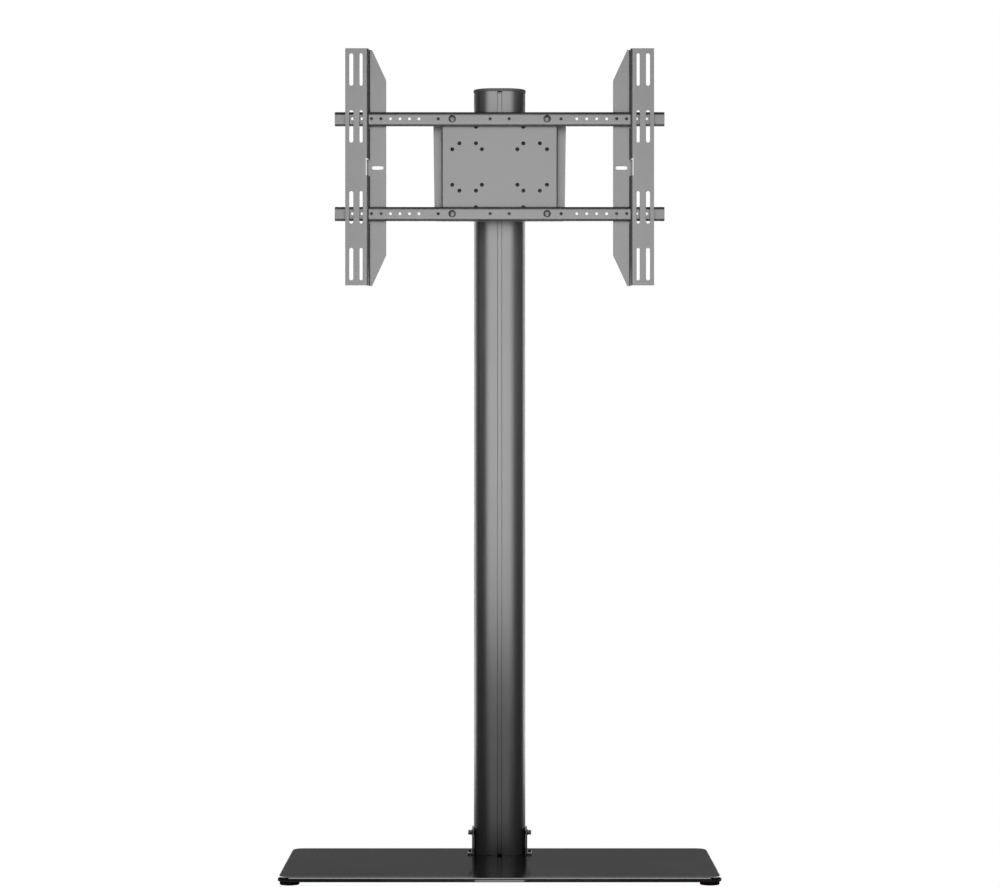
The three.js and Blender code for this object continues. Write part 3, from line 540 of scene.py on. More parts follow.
def make_drawn_lines():
    """Fine lines that a die leaves along the length of an extrusion, from 0 to 1."""
    tree, given, out = group(
        "drawn_lines",
        [("Position", VECTOR, None), ("Across", FLOAT, 1400.0), ("Along", FLOAT, 2.5)],
        [("Lines", FLOAT), ("Streaks", FLOAT)],
    )
    across = given.outputs["Across"]
    along = given.outputs["Along"]
    stretch = node(tree, "ShaderNodeCombineXYZ", links={"X": across, "Y": across, "Z": along})
    where = node(tree, "ShaderNodeVectorMath", {"operation": "MULTIPLY"},
                 {0: given.outputs["Position"], 1: stretch.outputs["Vector"]})
    lines = node(tree, "ShaderNodeTexNoise", links={"Vector": where.outputs["Vector"]},
                 Scale=1.0, Detail=3.0, Roughness=0.55)
    slow = node(tree, "ShaderNodeVectorMath", {"operation": "SCALE"},
                {0: where.outputs["Vector"]}, Scale=STREAK_SCALE)
    streaks = node(tree, "ShaderNodeTexNoise", links={"Vector": slow.outputs["Vector"]},
                   Scale=1.0, Detail=2.0, Roughness=0.5)
    tree.links.new(ranged(tree, lines.outputs["Fac"], 0, 1, 0.3, 0.7), out.inputs["Lines"])
    tree.links.new(ranged(tree, streaks.outputs["Fac"], 0, 1, 0.35, 0.65), out.inputs["Streaks"])
    return tree


coat_skin = make_coat_skin()
handling = make_handling()
drawn_lines = make_drawn_lines()


class Finish:
    """A material under construction: a shader, the object's own coordinates and a few shortcuts."""

    def __init__(self, name, **shader):
        self.material = bpy.data.materials.new(name)
        self.material.use_nodes = True
        self.tree = self.material.node_tree
        self.shader = self.tree.nodes["Principled BSDF"]
        for key, value in shader.items():
            self.shader.inputs[key.replace("_", " ")].default_value = value
        self.place = self.tree.nodes.new("ShaderNodeTexCoord").outputs["Object"]

    def effect(self, tree, **values):
        made = node(self.tree, "ShaderNodeGroup", {"node_tree": tree}, {"Position": self.place})
        for key, value in values.items():
            made.inputs[key.replace("_", " ")].default_value = value
        return made.outputs

    def to(self, socket, source):
        self.tree.links.new(source, self.shader.inputs[socket])

    def roughness(self, source, low, high):
        self.to("Roughness", ranged(self.tree, source, low, high))

    def tint(self, source, dark, light):
        mix = node(self.tree, "ShaderNodeMix", {"data_type": "RGBA"}, {"Factor": source})
        mix.inputs["A"].default_value = (*dark, 1)
        mix.inputs["B"].default_value = (*light, 1)
        self.to("Base Color", mix.outputs["Result"])

    def bump(self, source, distance, strength=1.0):
        bump = node(self.tree, "ShaderNodeBump", links={"Height": source},
                    Strength=strength, Distance=distance)
        self.to("Normal", bump.outputs["Normal"])

    def both(self, first, second, share):
        """Adds a share of the second value to the first."""
        made = node(self.tree, "ShaderNodeMath", {"operation": "MULTIPLY_ADD"}, {0: second, 2: first})
        made.inputs[1].default_value = share
        return made.outputs[0]


def powder_coat():
    finish = Finish("satin_powder_coat", IOR=1.46)
    skin = finish.effect(coat_skin, Wave_size=420.0, Pebble_size=1600.0)
    marks = finish.effect(handling, Patch_size=7.0)
    finish.tint(marks["Mask"], (0.006, 0.006, 0.0064), (0.009, 0.009, 0.0096))
    finish.roughness(finish.both(marks["Mask"], skin["Specks"], 0.3), 0.36, 0.42)
    finish.bump(skin["Height"], 0.03 * MM)
    return finish.material


def base_coat():
    finish = Finish("semi_gloss_powder_coat", IOR=1.5)
    skin = finish.effect(coat_skin, Wave_size=260.0, Pebble_size=1300.0)
    marks = finish.effect(handling, Patch_size=4.0)
    finish.tint(marks["Mask"], (0.002, 0.002, 0.002), (0.003, 0.003, 0.003))
    finish.roughness(finish.both(marks["Mask"], skin["Specks"], 0.3), 0.09, 0.12)
    finish.bump(skin["Height"], 0.012 * MM)
    return finish.material


def anodised():
    finish = Finish("black_anodised", IOR=1.48)
    drawn = finish.effect(drawn_lines, Across=1500.0, Along=2.0)
    marks = finish.effect(handling, Patch_size=5.0)
    finish.tint(drawn["Streaks"], (0.005, 0.005, 0.0055), (0.008, 0.008, 0.0086))
    finish.roughness(finish.both(marks["Mask"], drawn["Streaks"], 0.8), 0.34, 0.40)
    finish.bump(drawn["Lines"], 0.006 * MM)
    return finish.material


def moulded(name, rough):
    finish = Finish(name, IOR=1.4)
    skin = finish.effect(coat_skin, Wave_size=900.0, Pebble_size=2600.0)
    marks = finish.effect(handling, Patch_size=12.0)
    finish.tint(marks["Mask"], (0.006, 0.006, 0.006), (0.009, 0.009, 0.009))
    finish.roughness(skin["Specks"], rough, rough + 0.08)
    finish.bump(skin["Height"], 0.03 * MM)
    return finish.material


def strip_plastic():
    finish = Finish("extruded_plastic", IOR=1.5)
    drawn = finish.effect(drawn_lines, Across=2200.0, Along=3.0)
    marks = finish.effect(handling, Patch_size=9.0)
    finish.tint(marks["Mask"], (0.002, 0.002, 0.002), (0.004, 0.004, 0.004))
    finish.roughness(drawn["Streaks"], 0.34, 0.42)
    finish.bump(drawn["Lines"], 0.01 * MM)
    return finish.material


def rubber():
    finish = Finish("matt_rubber", IOR=1.45)
    skin = finish.effect(coat_skin, Wave_size=700.0, Pebble_size=2200.0)
    marks = finish.effect(handling, Patch_size=30.0)
    specked = finish.both(marks["Mask"], skin["Specks"], 0.5)
    finish.tint(specked, (0.010, 0.010, 0.010), (0.022, 0.022, 0.021))
    finish.roughness(marks["Mask"], 0.78, 0.92)
    finish.bump(skin["Height"], 0.08 * MM)
    return finish.material


def steel(name, dark, light, low, high):
    """Plated or blackened steel with a mottled surface."""
    finish = Finish(name, Metallic=1.0)
    skin = finish.effect(coat_skin, Wave_size=900.0, Pebble_size=3000.0)
    marks = finish.effect(handling, Patch_size=60.0)
    finish.tint(marks["Mask"], dark, light)
    finish.roughness(finish.both(marks["Mask"], skin["Specks"], 0.4), low, high)
    finish.bump(skin["Height"], 0.01 * MM)
    return finish.material


finishes = {
    "powder_coat": powder_coat(),
    "base_coat": base_coat(),
    "anodised": anodised(),
    "cap_plastic": moulded("moulded_cap_plastic", 0.7),
    "strip_plastic": strip_plastic(),
    "rubber": rubber(),
    "black_steel": steel("black_oxide_steel", (0.03, 0.03, 0.031), (0.055, 0.055, 0.057), 0.42, 0.52),
    "zinc_steel": steel("bright_zinc_steel", (0.46, 0.47, 0.49), (0.62, 0.63, 0.65), 0.22, 0.36),
}


# Screws and nuts

def threaded(radius, start, stop):
    """Profile points of a thread, from one height to another."""
    points = []
    turns = int((stop - start) / THREAD_PITCH)
    for i in range(turns):
        height = start + i * THREAD_PITCH
        points.append((radius, height + THREAD_CREST * THREAD_PITCH))
        points.append((radius - THREAD_DEPTH, height + THREAD_ROOT * THREAD_PITCH))
    return points


def socket_tool(across, bottom):
    """A hexagonal cutter that comes down to the given height from below."""
    bpy.ops.object.select_all(action="DESELECT")
    deep = 20 * MM
    bpy.ops.mesh.primitive_cylinder_add(vertices=6, radius=across / math.sqrt(3), depth=deep)
    tool = fresh("socket_tool")
    tool.location.z = bottom - deep / 2
    return rest(tool)


def screw(name, head_radius, head_height, shank, length, socket, domed=False):
    """A socket screw: the underside of its head at 0 and its tip along +Z."""
    grip = (-head_height + GRIP_BELOW, -GRIP_ABOVE)
    if domed:
        steps = TURN_STEPS
        dome = head_height - DOME_RIM
        curve = (head_radius ** 2 + dome ** 2) / (2 * dome)
        reach = math.asin(head_radius / curve)
        head = []
        for i in range(DOME_STEPS + 1):
            turn = i * reach / DOME_STEPS
            head.append((curve * math.sin(turn), curve * (1 - math.cos(turn)) - head_height))
        head.append((head_radius, -DOME_LOWER_EDGE))
    else:
        steps = 2 * KNURLS
        head = [(0, -head_height), (head_radius - HEAD_EDGE, -head_height)]
        heights = [-head_height + HEAD_EDGE]
        if head_height > KNURLED_ABOVE:
            heights += [grip[0] - HEAD_EDGE / 2, grip[0], grip[1]]
        head += [(head_radius, height) for height in heights]
    body = [(head_radius, 0), (shank, 0), (shank, PLAIN_SHANK)]
    body += threaded(shank, PLAIN_SHANK, length - TIP)
    body += [(shank - TIP_STEP, length - TIP), (shank - TIP, length), (0, length)]
    made = turned(name, head + body, steps)
    if not domed:
        with editing(made, "VERT"):
            pick(made, lambda point: in_groove(point.co, head_radius, grip), "verts")
            bpy.ops.transform.resize(value=(KNURL_SHARE, KNURL_SHARE, 1), center_override=(0, 0, 0))
    return carve(made, [socket_tool(socket, -SOCKET_SHARE * head_height)])


def in_groove(point, radius, grip):
    """True on every second line of points round the side of a screw's head."""
    if abs(point.xy.length - radius) > TINY or not grip[0] - TINY < point.z < grip[1] + TINY:
        return False
    line = round(math.atan2(point.y, point.x) / (math.pi / KNURLS))
    return line % 2 == 0


def nut(name, across, height, hole):
    """A hexagon nut from 0 up, its corners turned off at both ends."""
    radius = across / math.sqrt(3)
    bpy.ops.object.select_all(action="DESELECT")
    bpy.ops.mesh.primitive_cylinder_add(vertices=6, radius=radius, depth=height)
    made = fresh(name)
    made.location.z = height / 2
    made.rotation_euler.z = math.pi / 6
    rest(made)
    slope = 0.5 * (radius - across / 2)
    cone = turned("cone", [
        (0, 0), (across / 2, 0), (radius, slope), (radius + MM, height / 2),
        (radius, height - slope), (across / 2, height), (0, height),
    ])
    carve(made, [cone], "INTERSECT")
    bit = drill_bit(hole, height, flare=NUT_EDGE)
    return drill(made, bit, [(0, 0, height / 2)], "up")


def axial(node_name, way):
    """The middle of a fastener's outer end, a step towards its tip and its whole length."""
    low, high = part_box(node_name)
    middle = (low + high) / 2
    axis = {"up": 2, "down": 2, "back": 1, "front": 1, "left": 0, "right": 0}[way]
    rising = way in ("up", "back", "right")
    middle[axis] = low[axis] if rising else high[axis]
    step = Vector((0, 0, 0))
    step[axis] = 1 if rising else -1
    return middle, step, high[axis] - low[axis]


def set_of_screws(nodes, way, kind, domed=False):
    """One screw is modelled, and each node of the set gets a copy."""
    head_radius, head_height, shank, socket = kind
    _, _, total = axial(nodes[0], way)
    pattern = screw("screw", head_radius, head_height, shank, total - head_height, socket, domed)
    for name in nodes:
        outer, step, _ = axial(name, way)
        copy = set_at(twin(pattern, name + "_screw"), outer + step * head_height, way)
        dress(copy, name, "zinc_steel" if name.startswith("foot") else "black_steel", ROUND_ANGLE)
    bpy.data.objects.remove(pattern)


def set_of_nuts(nodes, way, kind):
    pattern = nut("nut", *kind)
    for name in nodes:
        outer, _, _ = axial(name, way)
        dress(set_at(twin(pattern, name + "_hex"), outer, way), name, "zinc_steel", ROUND_ANGLE)
    bpy.data.objects.remove(pattern)


SIDES = ("left", "right")
CORNERS = [f"{end}_{side}" for end in ("front", "rear") for side in SIDES]
LEVELS = [f"{level}_{side}" for level in ("upper", "lower") for side in SIDES]


def fasteners():
    set_of_screws(["rail_bolt_" + n for n in LEVELS], "back", DOMED_BOLT, domed=True)
    set_of_screws(["slot_bolt_upper", "slot_bolt_lower"], "back", DOMED_BOLT, domed=True)
    set_of_screws(["adapter_screw_" + n for n in LEVELS], "back", CAP_SCREW)
    set_of_screws(["arm_lock_screw_left", "arm_lock_screw_right"], "front", CAP_SCREW)
    set_of_screws(["bracket_base_bolt_" + s for s in SIDES], "down", BASE_BOLT)
    set_of_screws(["column_screw_" + n for n in CORNERS], "up", CAP_SCREW)
    set_of_screws(["foot_screw_" + n for n in CORNERS], "up", PAD_SCREW)
    set_of_screws(["bracket_side_bolt_right"], "left", CAP_SCREW)
    set_of_screws(["bracket_side_bolt_left"], "right", CAP_SCREW)
    set_of_nuts(["rail_nut_" + n for n in LEVELS], "back", LARGE_NUT)
    set_of_nuts(["adapter_nut_" + n for n in LEVELS], "back", SMALL_NUT)
    set_of_nuts(["bracket_side_nut_right"], "left", SMALL_NUT)
    set_of_nuts(["bracket_side_nut_left"], "right", SMALL_NUT)
    washers()
    for name in ("slot_nut_upper", "slot_nut_lower", "arm_lock_nut_left", "arm_lock_nut_right"):
        low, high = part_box(name)
        plate = soften(block(name + "_plate", low, high), NUT_EDGE)
        hole = LARGE_HOLE if name.startswith("slot") else SMALL_HOLE
        drill(plate, drill_bit(hole, high.y - low.y), [(low + high) / 2])
        dress(plate, name, "zinc_steel" if name.startswith("slot") else "black_steel")


def washers():
    for name, way in (("bracket_washer_left", "right"), ("bracket_washer_right", "left")):
        outer, _, thick = axial(name, way)
        low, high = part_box(name)
        radius = (high.z - low.z) / 2
        inset = radius - WASHER_EDGE
        profile = [
            (SMALL_HOLE, 0), (inset, 0), (radius, WASHER_EDGE), (radius, thick - WASHER_EDGE),
            (inset, thick), (SMALL_HOLE, thick), (SMALL_HOLE, 0),
        ]
        dress(set_at(turned(name + "_ring", profile), outer, way), name, "black_steel", ROUND_ANGLE)


# Base

def base_plate():
    low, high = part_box("base_plate")
    plate = block("base_sheet", low, high)
    with editing(plate):
        pick(plate, lambda edge: is_along(edge, 2))
        bpy.ops.mesh.bevel(offset=BASE_CORNER, segments=CORNER_STEPS, affect="EDGES")
        pick(plate, lambda edge: min(v.co.z for v in edge.verts) > high.z - TINY)
        bpy.ops.mesh.bevel(offset=BASE_UPPER_EDGE, segments=8, affect="EDGES")
        pick(plate, lambda edge: max(v.co.z for v in edge.verts) < low.z + TINY)
        bpy.ops.mesh.bevel(offset=BASE_LOWER_EDGE, segments=4, affect="EDGES")
    middle = (high.z + low.z) / 2
    through = [(*centre("column_screw_" + n).xy, middle) for n in CORNERS]
    drill(plate, drill_bit(BASE_HOLE, high.z - low.z), through, "up")
    through = [(*centre("bracket_base_bolt_" + side).xy, middle) for side in SIDES]
    drill(plate, drill_bit(BASE_BOLT_HOLE, high.z - low.z), through, "up")
    blind = [
        ("column_screw_", COUNTERBORE, COUNTERBORE_DEPTH),
        ("foot_screw_", BASE_HOLE, PAD_HOLE_DEPTH),
    ]
    for kind, radius, depth in blind:
        bit = drill_bit(radius, 2 * (depth - BIT_OVERRUN), flare=0)
        drill(plate, bit, [(*centre(kind + n).xy, low.z) for n in CORNERS], "up")
    dress(plate, "base_plate", "base_coat")


def pads():
    low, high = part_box("foot_front_left")
    radius = (high.x - low.x) / 2
    height = high.z - low.z
    profile = [(PAD_RECESS, 0), (radius - PAD_EDGE, 0)]
    profile += [(radius - 0.4 * PAD_EDGE, 0.25 * PAD_EDGE), (radius, PAD_EDGE)]
    rib = (height - 1.6 * PAD_EDGE) / PAD_RIBS
    for i in range(PAD_RIBS):
        start = PAD_EDGE + i * rib
        profile += [(radius - depth, start + share * rib) for share, depth in PAD_RIB_SHAPE]
    profile += [(radius, height - PAD_UPPER_EDGE), (radius - PAD_UPPER_EDGE, height)]
    profile += [(PAD_BORE, height), (PAD_BORE, PAD_RECESS_DEPTH)]
    profile += [(PAD_RECESS, PAD_RECESS_DEPTH), (PAD_RECESS, 0)]
    pattern = turned("pad", profile, PAD_STEPS)
    for name in CORNERS:
        x, y, _ = centre("foot_" + name)
        dress(twin(pattern, f"pad_{name}", (x, y, 0)), "foot_" + name, "rubber", angle=40)
    bpy.data.objects.remove(pattern)


def oval(name, half_width, half_depth, middle, bottom, top):
    """A prism with a flat front and back and half ovals for sides."""
    bpy.ops.object.select_all(action="DESELECT")
    bpy.ops.mesh.primitive_circle_add(vertices=OVAL_POINTS, radius=1, fill_type="NGON")
    prism = fresh(name)
    prism.rotation_euler.z = math.pi / OVAL_POINTS
    rest(prism)
    flat = COLUMN_FLAT / 2
    with editing(prism, "VERT"):
        bpy.ops.mesh.select_all(action="SELECT")
        bpy.ops.transform.resize(value=(half_width - flat, half_depth, 1), center_override=(0, 0, 0))
        for side in (-1, 1):
            pick(prism, lambda point: point.co.x * side > 0, "verts")
            bpy.ops.transform.translate(value=(side * flat, 0, 0))
        bpy.ops.mesh.select_mode(type="FACE")
        bpy.ops.mesh.select_all(action="SELECT")
        bpy.ops.transform.translate(value=(0, middle, bottom))
        extrude((0, 0, top - bottom))
        bpy.ops.mesh.select_all(action="SELECT")
        bpy.ops.mesh.normals_make_consistent(inside=False)
    return prism


def column():
    low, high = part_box("column")
    middle = (low.y + high.y) / 2
    half_width = (high.x - low.x) / 2
    half_depth = (high.y - low.y) / 2
    under = low.z - OVERRUN
    over = high.z + OVERRUN
    shell = oval("column_extrusion", half_width, half_depth, middle, low.z, high.z)
    hollow = oval("hollow", half_width - COLUMN_WALL, half_depth - COLUMN_WALL, middle, under, over)
    inner_half = CHANNEL_WIDTH / 2 + SLOT_WALL
    box_depth = SLOT_LIP + CHANNEL_DEPTH + SLOT_WALL
    keep = []
    for side in (-1, 1):
        outer = middle + side * (half_depth + OVERRUN)
        inner = middle + side * (half_depth - box_depth)
        front, back = sorted((outer, inner))
        keep.append(block(
            "slot_walls", (-inner_half, front, under - MM), (inner_half, back, over + MM),
        ))
        for x in (-PORT_X, PORT_X):
            bpy.ops.object.select_all(action="DESELECT")
            bpy.ops.mesh.primitive_cylinder_add(
                vertices=24, radius=PORT_HOLE + PORT_WALL, depth=over - under + 2 * MM,
                location=(x, middle + side * PORT_Y, (over + under) / 2),
            )
            keep.append(rest(fresh("port")))
    carve(hollow, keep, crossing=True)
    carve(shell, [hollow])
    tools = []
    for side in (-1, 1):
        lip = middle + side * (half_depth - SLOT_LIP)
        channel = lip - side * CHANNEL_DEPTH
        outer = middle + side * (half_depth + OVERRUN)
        front, back = sorted((lip, channel))
        tools.append(block(
            "channel", (-CHANNEL_WIDTH / 2, front, under), (CHANNEL_WIDTH / 2, back, over),
        ))
        front, back = sorted((outer, lip - side * OVERRUN))
        tools.append(block("mouth", (-SLOT_MOUTH / 2, front, under), (SLOT_MOUTH / 2, back, over)))
        for x in (-PORT_X, PORT_X):
            bpy.ops.object.select_all(action="DESELECT")
            bpy.ops.mesh.primitive_cylinder_add(
                vertices=16, radius=PORT_HOLE, depth=over - under,
                location=(x, middle + side * PORT_Y, (over + under) / 2),
            )
            tools.append(rest(fresh("port_hole")))
    carve(shell, tools, crossing=True)
    side_bolt = centre("bracket_side_bolt_right")
    side_hole = drill_bit(SMALL_HOLE, 2 * half_width + OVERRUN, flare=0)
    drill(shell, side_hole, [(0, middle, side_bolt.z)], "right")
    soften(shell, COLUMN_EDGE, angle=50)
    dress(shell, "column", "anodised", angle=25)


def column_cap():
    low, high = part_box("column_cap")
    middle = (low.y + high.y) / 2
    underside = high.z - CAP_LID
    lid = oval("top_cap", (high.x - low.x) / 2, (high.y - low.y) / 2, middle, underside, high.z)
    with editing(lid):
        pick(lid, lambda edge: min(v.co.z for v in edge.verts) > high.z - TINY)
        bpy.ops.mesh.bevel(offset=CAP_EDGE, segments=5, affect="EDGES")
        pick(lid, lambda edge: max(v.co.z for v in edge.verts) < underside + TINY)
        bpy.ops.mesh.bevel(offset=CAP_LOWER_EDGE, segments=2, affect="EDGES")
    plugs = []
    for side in (-1, 1):
        inner = side * (CHANNEL_WIDTH / 2 + SLOT_WALL + PLUG_GAP)
        left, right = sorted((inner, inner + side * PLUG_WIDTH))
        front = middle - PLUG_HALF_DEPTH
        back = middle + PLUG_HALF_DEPTH
        plugs.append(block("plug", (left, front, low.z), (right, back, underside + MM)))
    weld(lid, plugs)
    dress(lid, "column_cap", "cap_plastic", ROUND_ANGLE)


def strips():
    for name in ("slot_strip_front_upper", "slot_strip_front_lower", "slot_strip_rear"):
        low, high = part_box(name)
        rear = name.endswith("rear")
        face_half = SLOT_MOUTH / 2 - STRIP_GAP
        title = name.replace("slot_strip", "cover_strip")
        strip = block(title, (-face_half, low.y, low.z), (face_half, high.y, high.z))
        hook_low, hook_high = (low.y, low.y + STRIP_HOOK) if rear else (high.y - STRIP_HOOK, high.y)
        weld(strip, [block("hook", (low.x, hook_low, low.z), (high.x, hook_high, high.z))])
        soften(strip, STRIP_EDGE)
        dress(strip, name, "strip_plastic")


def brackets():
    low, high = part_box("foot_bracket_right")
    half = BRACKET_SHEET / 2
    corners = [(low.x + half, high.z), (low.x + half, low.z + half), (high.x, low.z + half)]
    angle = lay(bent_sheet("angle", corners, -high.y, -low.y, BRACKET_SHEET, [BEND]), ALONG_Y)
    with editing(angle):
        pick(angle, lambda edge: is_along(edge, 0) and edge.verts[0].co.z > high.z - TINY)
        bpy.ops.mesh.bevel(offset=BRACKET_UPPER_CORNER, segments=6, affect="EDGES")
        pick(angle, lambda edge: is_along(edge, 2) and edge.verts[0].co.x > high.x - TINY)
        bpy.ops.mesh.bevel(offset=BRACKET_FOOT_CORNER, segments=6, affect="EDGES")
    soften(angle, BRACKET_EDGE)
    floor_bolt = centre("bracket_base_bolt_right")
    drill(angle, drill_bit(BASE_BOLT_HOLE, BRACKET_SHEET), [(*floor_bolt.xy, low.z + half)], "up")
    bolt = centre("bracket_side_bolt_right")
    drill(angle, drill_bit(SMALL_HOLE, BRACKET_SHEET), [(low.x + half, bolt.y, bolt.z)], "right")
    dress(mirrored(angle, "column_bracket_left"), "foot_bracket_left", "powder_coat")
    dress(twin(angle, "column_bracket_right"), "foot_bracket_right", "powder_coat")
    bpy.data.objects.remove(angle)


# Head

def column_plate():
    low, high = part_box("column_plate")
    plate = block("clamp_plate", low, high)
    with editing(plate):
        pick(plate, lambda edge: is_along(edge, 1))
        bpy.ops.mesh.bevel(offset=CLAMP_CORNER, segments=5, affect="EDGES")
    soften(plate)
    middle = (low + high) / 2
    clamps = [centre(name) for name in ("slot_bolt_upper", "slot_bolt_lower")]
    drill(plate, drill_bit(LARGE_HOLE, PLATE_SHEET), [(0, middle.y, clamp.z) for clamp in clamps])
    lips = [centre("adapter_screw_" + n) for n in LEVELS]
    drill(plate, drill_bit(SMALL_HOLE, PLATE_SHEET), [(lip.x, middle.y, lip.z) for lip in lips])
    dress(plate, "column_plate", "powder_coat")


def adapter_plate():
    low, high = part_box("adapter_plate")
    half = SHEET / 2
    side = high.x - LIP
    back = high.y - half
    front = low.y + half
    corners = [
        (low.x, back), (half - side, back), (half - side, front),
        (side - half, front), (side - half, back), (high.x, back),
    ]
    plate = bent_sheet("screen_plate", corners, low.z, high.z, SHEET, [BEND] * 4)
    for edge_side in (-1, 1):
        with editing(plate, "FACE"):
            bpy.ops.mesh.select_all(action="SELECT")
            slope = Vector((edge_side * (high.z - low.z), 0, -LIP_TAPER)).normalized()
            corner = (edge_side * high.x, back, high.z)
            bpy.ops.mesh.bisect(plane_co=corner, plane_no=slope, use_fill=True, clear_outer=True)
    soften(plate)
    levels = [centre("rail_upper").z, centre("rail_lower").z]
    middle = sum(levels) / 2
    quarters = [(s, t) for s in (-1, 1) for t in (-1, 1)]
    face = [(x * MM * s, front, middle + z * MM * t) for x, z in SCREEN_PATTERNS for s, t in quarters]
    drill(plate, drill_bit(SCREEN_HOLE, SHEET), face)
    ends = [(s, z) for s in (-1, 1) for z in levels]
    drill(plate, drill_bit(LARGE_HOLE, SHEET), [(s * BOLT_X * MM, front, z) for s, z in ends])
    drill(plate, drill_bit(SMALL_HOLE, SHEET), [(s * LIP_SCREW_X * MM, back, z) for s, z in ends])
    dress(plate, "adapter_plate", "powder_coat")


def rails():
    low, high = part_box("rail_upper")
    half = RAIL_SHEET / 2
    front = low.y + half
    back = high.y - half
    corners = [
        (back, low.z + RAIL_LIP), (back, low.z + half), (front, low.z + half),
        (front, high.z - half), (back, high.z - half), (back, high.z - RAIL_LIP),
    ]
    bends = [BEND, RAIL_FRONT_BEND, RAIL_FRONT_BEND, BEND]
    rail = lay(bent_sheet("rail", corners, low.x, high.x, RAIL_SHEET, bends), ALONG_X)
    soften(rail)
    middle = (low.z + high.z) / 2
    drill(rail, drill_bit(RAIL_HOLE, RAIL_SHEET), [(x * MM, front, middle) for x in RAIL_HOLES])
    drill(rail, drill_bit(LARGE_HOLE, RAIL_SHEET), [(s * BOLT_X * MM, front, middle) for s in (-1, 1)])
    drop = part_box("rail_lower")[0].z - low.z
    dress(twin(rail, "lower_rail", (0, 0, drop)), "rail_lower", "powder_coat")
    dress(twin(rail, "upper_rail"), "rail_upper", "powder_coat")
    bpy.data.objects.remove(rail)


# Arms

def arms():
    low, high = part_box("arm_right")
    half = SHEET / 2
    web = ARM_WEB + half
    front = low.y + half
    back = high.y - half
    corners = [(high.x, front), (web, front), (web, back), (low.x, back)]
    arm = bent_sheet("arm", corners, low.z, high.z, SHEET, [ARM_FACE_BEND, ARM_FLANGE_BEND])
    middle = (low.z + high.z) / 2
    width, length = ARM_CHAMFER
    corners_off = []
    for end in (-1, 1):
        left, right = (-length, 0) if end > 0 else (0, length)
        tip = block("chamfer", (left, -2 * SHEET, -length), (right, 2 * SHEET, 2 * length))
        tip.matrix_world = (
            Matrix.Translation((low.x, back, middle + end * (high.z - middle - length)))
            @ Matrix.Rotation(math.atan2(width, end * length), 4, "Y")
        )
        corners_off.append(rest(tip))
    carve(arm, corners_off)
    soften(arm)
    bends = (ARM_WEB - ARM_FLANGE_BEND, ARM_WEB + SHEET + ARM_FACE_BEND)
    flange = high.y - SHEET
    tab_start = (bends[0] - MM, flange, middle - WEB_OPENING)
    tab = block("tab", tab_start, (ARM_WEB + TAB_REACH, high.y, middle + WEB_OPENING))
    weld(arm, [soften(tab)])
    openings = [
        block("opening", (bends[0], low.y - OVERRUN, middle - WEB_OPENING),
              (ARM_WEB + OPENING_REACH, flange, middle + WEB_OPENING)),
    ]
    for rail in ("rail_upper", "rail_lower"):
        under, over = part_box(rail)
        openings.append(block(
            "window", (bends[0], under.y - WINDOW_BEFORE, under.z - WINDOW_BELOW),
            (bends[1], flange, over.z + WINDOW_ABOVE),
        ))
    carve(arm, openings)
    for inset, radius in ARM_SLOTS_ACROSS:
        places = [(high.x - inset * MM, front, middle + z * MM) for z in ARM_SLOTS]
        drill(arm, drill_bit(radius * MM, SHEET, length=ARM_SLOT_LENGTH), places, "front")
    flange_middle = centre("arm_lock_screw_right")
    slot_length, slot_radius = FLANGE_SLOT
    level_bit = drill_bit(slot_radius, SHEET, length=slot_length)
    level_bit.rotation_euler.z = math.pi / 2
    drill(arm, rest(level_bit), [(flange_middle.x, back, middle)], "front")
    drill(arm, drill_bit(SMALL_HOLE, SHEET), [(flange_middle.x, back, flange_middle.z)], "front")
    dress(mirrored(arm, "left_arm"), "arm_left", "powder_coat")
    dress(twin(arm, "right_arm"), "arm_right", "powder_coat")
    bpy.data.objects.remove(arm)


# Studio

CAMERA_PLACE = (0, -5.972, 0.8345)
CAMERA_LENS = 102.9
CAMERA_SHIFT = (0.00036, 0.0275)
CAMERA_REACH = 500
FLOOR_RADIUS = 400
FLOOR_GREY = (0.15, 0.15, 0.15, 1)
AIR_BRIGHTNESS = 0.02

# Name, place, aim, width, height and brightness
LIGHTS = [
    ("front_softbox", (0, -0.65, 1.25), (0, 0, 1.25), 1.12, 1.62, 9.6),
    ("back_softbox", (0, 1.9, 1.4), (0, 0, 1.4), 1.5, 1.5, 2.6),
    ("rear_softbox", (0, 7.0, 5.0), (0, 0, 1.0), 8.0, 3.0, 0.6),
    ("rear_panel", (0, 6.0, 1.2), (0, 0, 1.2), 5.0, 2.4, 0.1),
    ("rear_card", (0, 3.6, 0.003), (0, 3.6, 1), 6.0, 5.0, 1.0),
    ("floor_card", (0, -2.0, 0.003), (0, -2.0, 1), 1.8, 2.6, 2.0),
    ("near_card", (0, -0.53, 0.003), (0, -0.53, 1), 0.5, 0.34, 5.0),
    ("edge_card", (0, -0.3, 0.003), (0, -0.3, 1), 0.1, 0.1, 4.5),
]
for side in (-1, 1):
    LIGHTS.append(("side_softbox", (side * 1.5, -0.4, 1.5), (0, 0, 1.5), 0.6, 1.2, 1.4))
    LIGHTS.append(("rim_softbox", (side * 1.05, 1.19, 0.88), (0, 0.138, 0.88), 0.9, 1.74, 3.6))


def shader_mix(tree, by, dark, light, output):
    """Shows the second shader where the value is 1 and the first where it is 0."""
    mix = node(tree, "ShaderNodeMixShader")
    for socket, source in zip(mix.inputs, (by, dark.outputs[0], light.outputs[0])):
        tree.links.new(source, socket)
    tree.links.new(mix.outputs[0], output.inputs["Surface"])


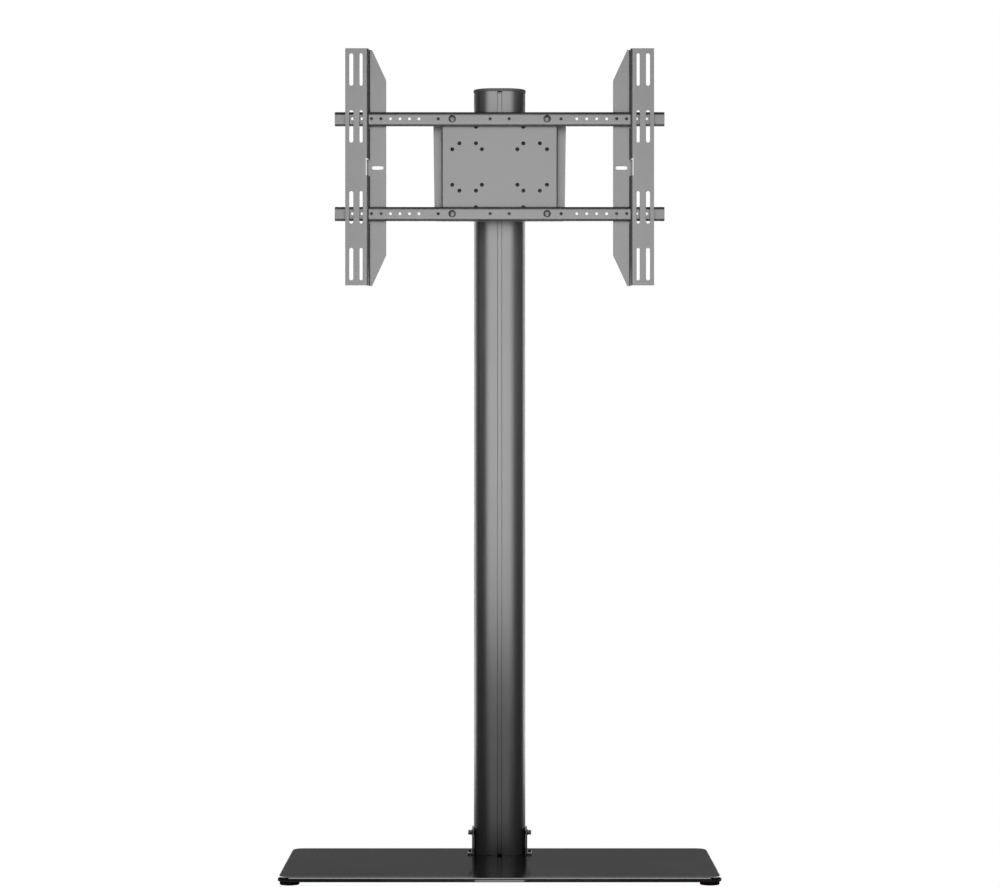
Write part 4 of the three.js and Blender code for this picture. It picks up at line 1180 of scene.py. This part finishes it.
def studio_floor():
    """A pale floor that the camera sees as bright paper, and that the stand reflects as a grey one."""
    bpy.ops.object.select_all(action="DESELECT")
    bpy.ops.mesh.primitive_circle_add(vertices=64, radius=FLOOR_RADIUS, fill_type="NGON")
    floor = fresh("studio_floor")
    pale = bpy.data.materials.new("pale_floor")
    pale.use_nodes = True
    tree = pale.node_tree
    output = tree.nodes["Material Output"]
    seen = tree.nodes["Principled BSDF"]
    seen.inputs["Base Color"].default_value = (0, 0, 0, 1)
    seen.inputs["Roughness"].default_value = 1.0
    seen.inputs["Specular IOR Level"].default_value = 0.0
    seen.inputs["Emission Color"].default_value = (1, 1, 1, 1)
    seen.inputs["Emission Strength"].default_value = 1.0
    grey = node(tree, "ShaderNodeBsdfDiffuse", Color=FLOOR_GREY)
    path = node(tree, "ShaderNodeLightPath")
    shader_mix(tree, path.outputs["Is Camera Ray"], grey, seen, output)
    floor.data.materials.append(pale)


def studio_air():
    world = bpy.data.worlds.new("studio")
    bpy.context.scene.world = world
    world.use_nodes = True
    tree = world.node_tree
    seen = tree.nodes["Background"]
    seen.inputs["Color"].default_value = (1, 1, 1, 1)
    lit = node(tree, "ShaderNodeBackground", Color=(1, 1, 1, 1), Strength=AIR_BRIGHTNESS)
    path = node(tree, "ShaderNodeLightPath")
    shader_mix(tree, path.outputs["Is Camera Ray"], lit, seen, tree.nodes["World Output"])


def studio():
    """A pale floor, a near soft light in front, dimmer ones at the sides and behind, and bright cards
    on the floor that the column and the base plate reflect."""
    studio_floor()
    studio_air()
    for light in LIGHTS:
        soft_light(*light)
    bpy.ops.object.camera_add(location=CAMERA_PLACE, rotation=(math.pi / 2, 0, 0))
    camera = bpy.context.active_object
    camera.name = "photo_camera"
    camera.data.lens = CAMERA_LENS
    camera.data.shift_x, camera.data.shift_y = CAMERA_SHIFT
    camera.data.clip_end = CAMERA_REACH
    bpy.context.scene.camera = camera
    bpy.context.scene.view_settings.view_transform = "Standard"


def soft_light(name, place, aim, width, height, brightness):
    """An area light whose surface has the given brightness, white being 1."""
    bpy.ops.object.light_add(type="AREA", location=place)
    lamp = bpy.context.active_object
    lamp.name = name
    lamp.data.shape = "RECTANGLE"
    lamp.data.size = width
    lamp.data.size_y = height
    lamp.data.energy = brightness * math.pi * width * height
    lamp.rotation_euler = (Vector(aim) - Vector(place)).to_track_quat("-Z", "Y").to_euler()
    lamp.visible_camera = False


studio()
base_plate()
pads()
column()
column_cap()
strips()
brackets()
column_plate()
adapter_plate()
rails()
arms()
fasteners()
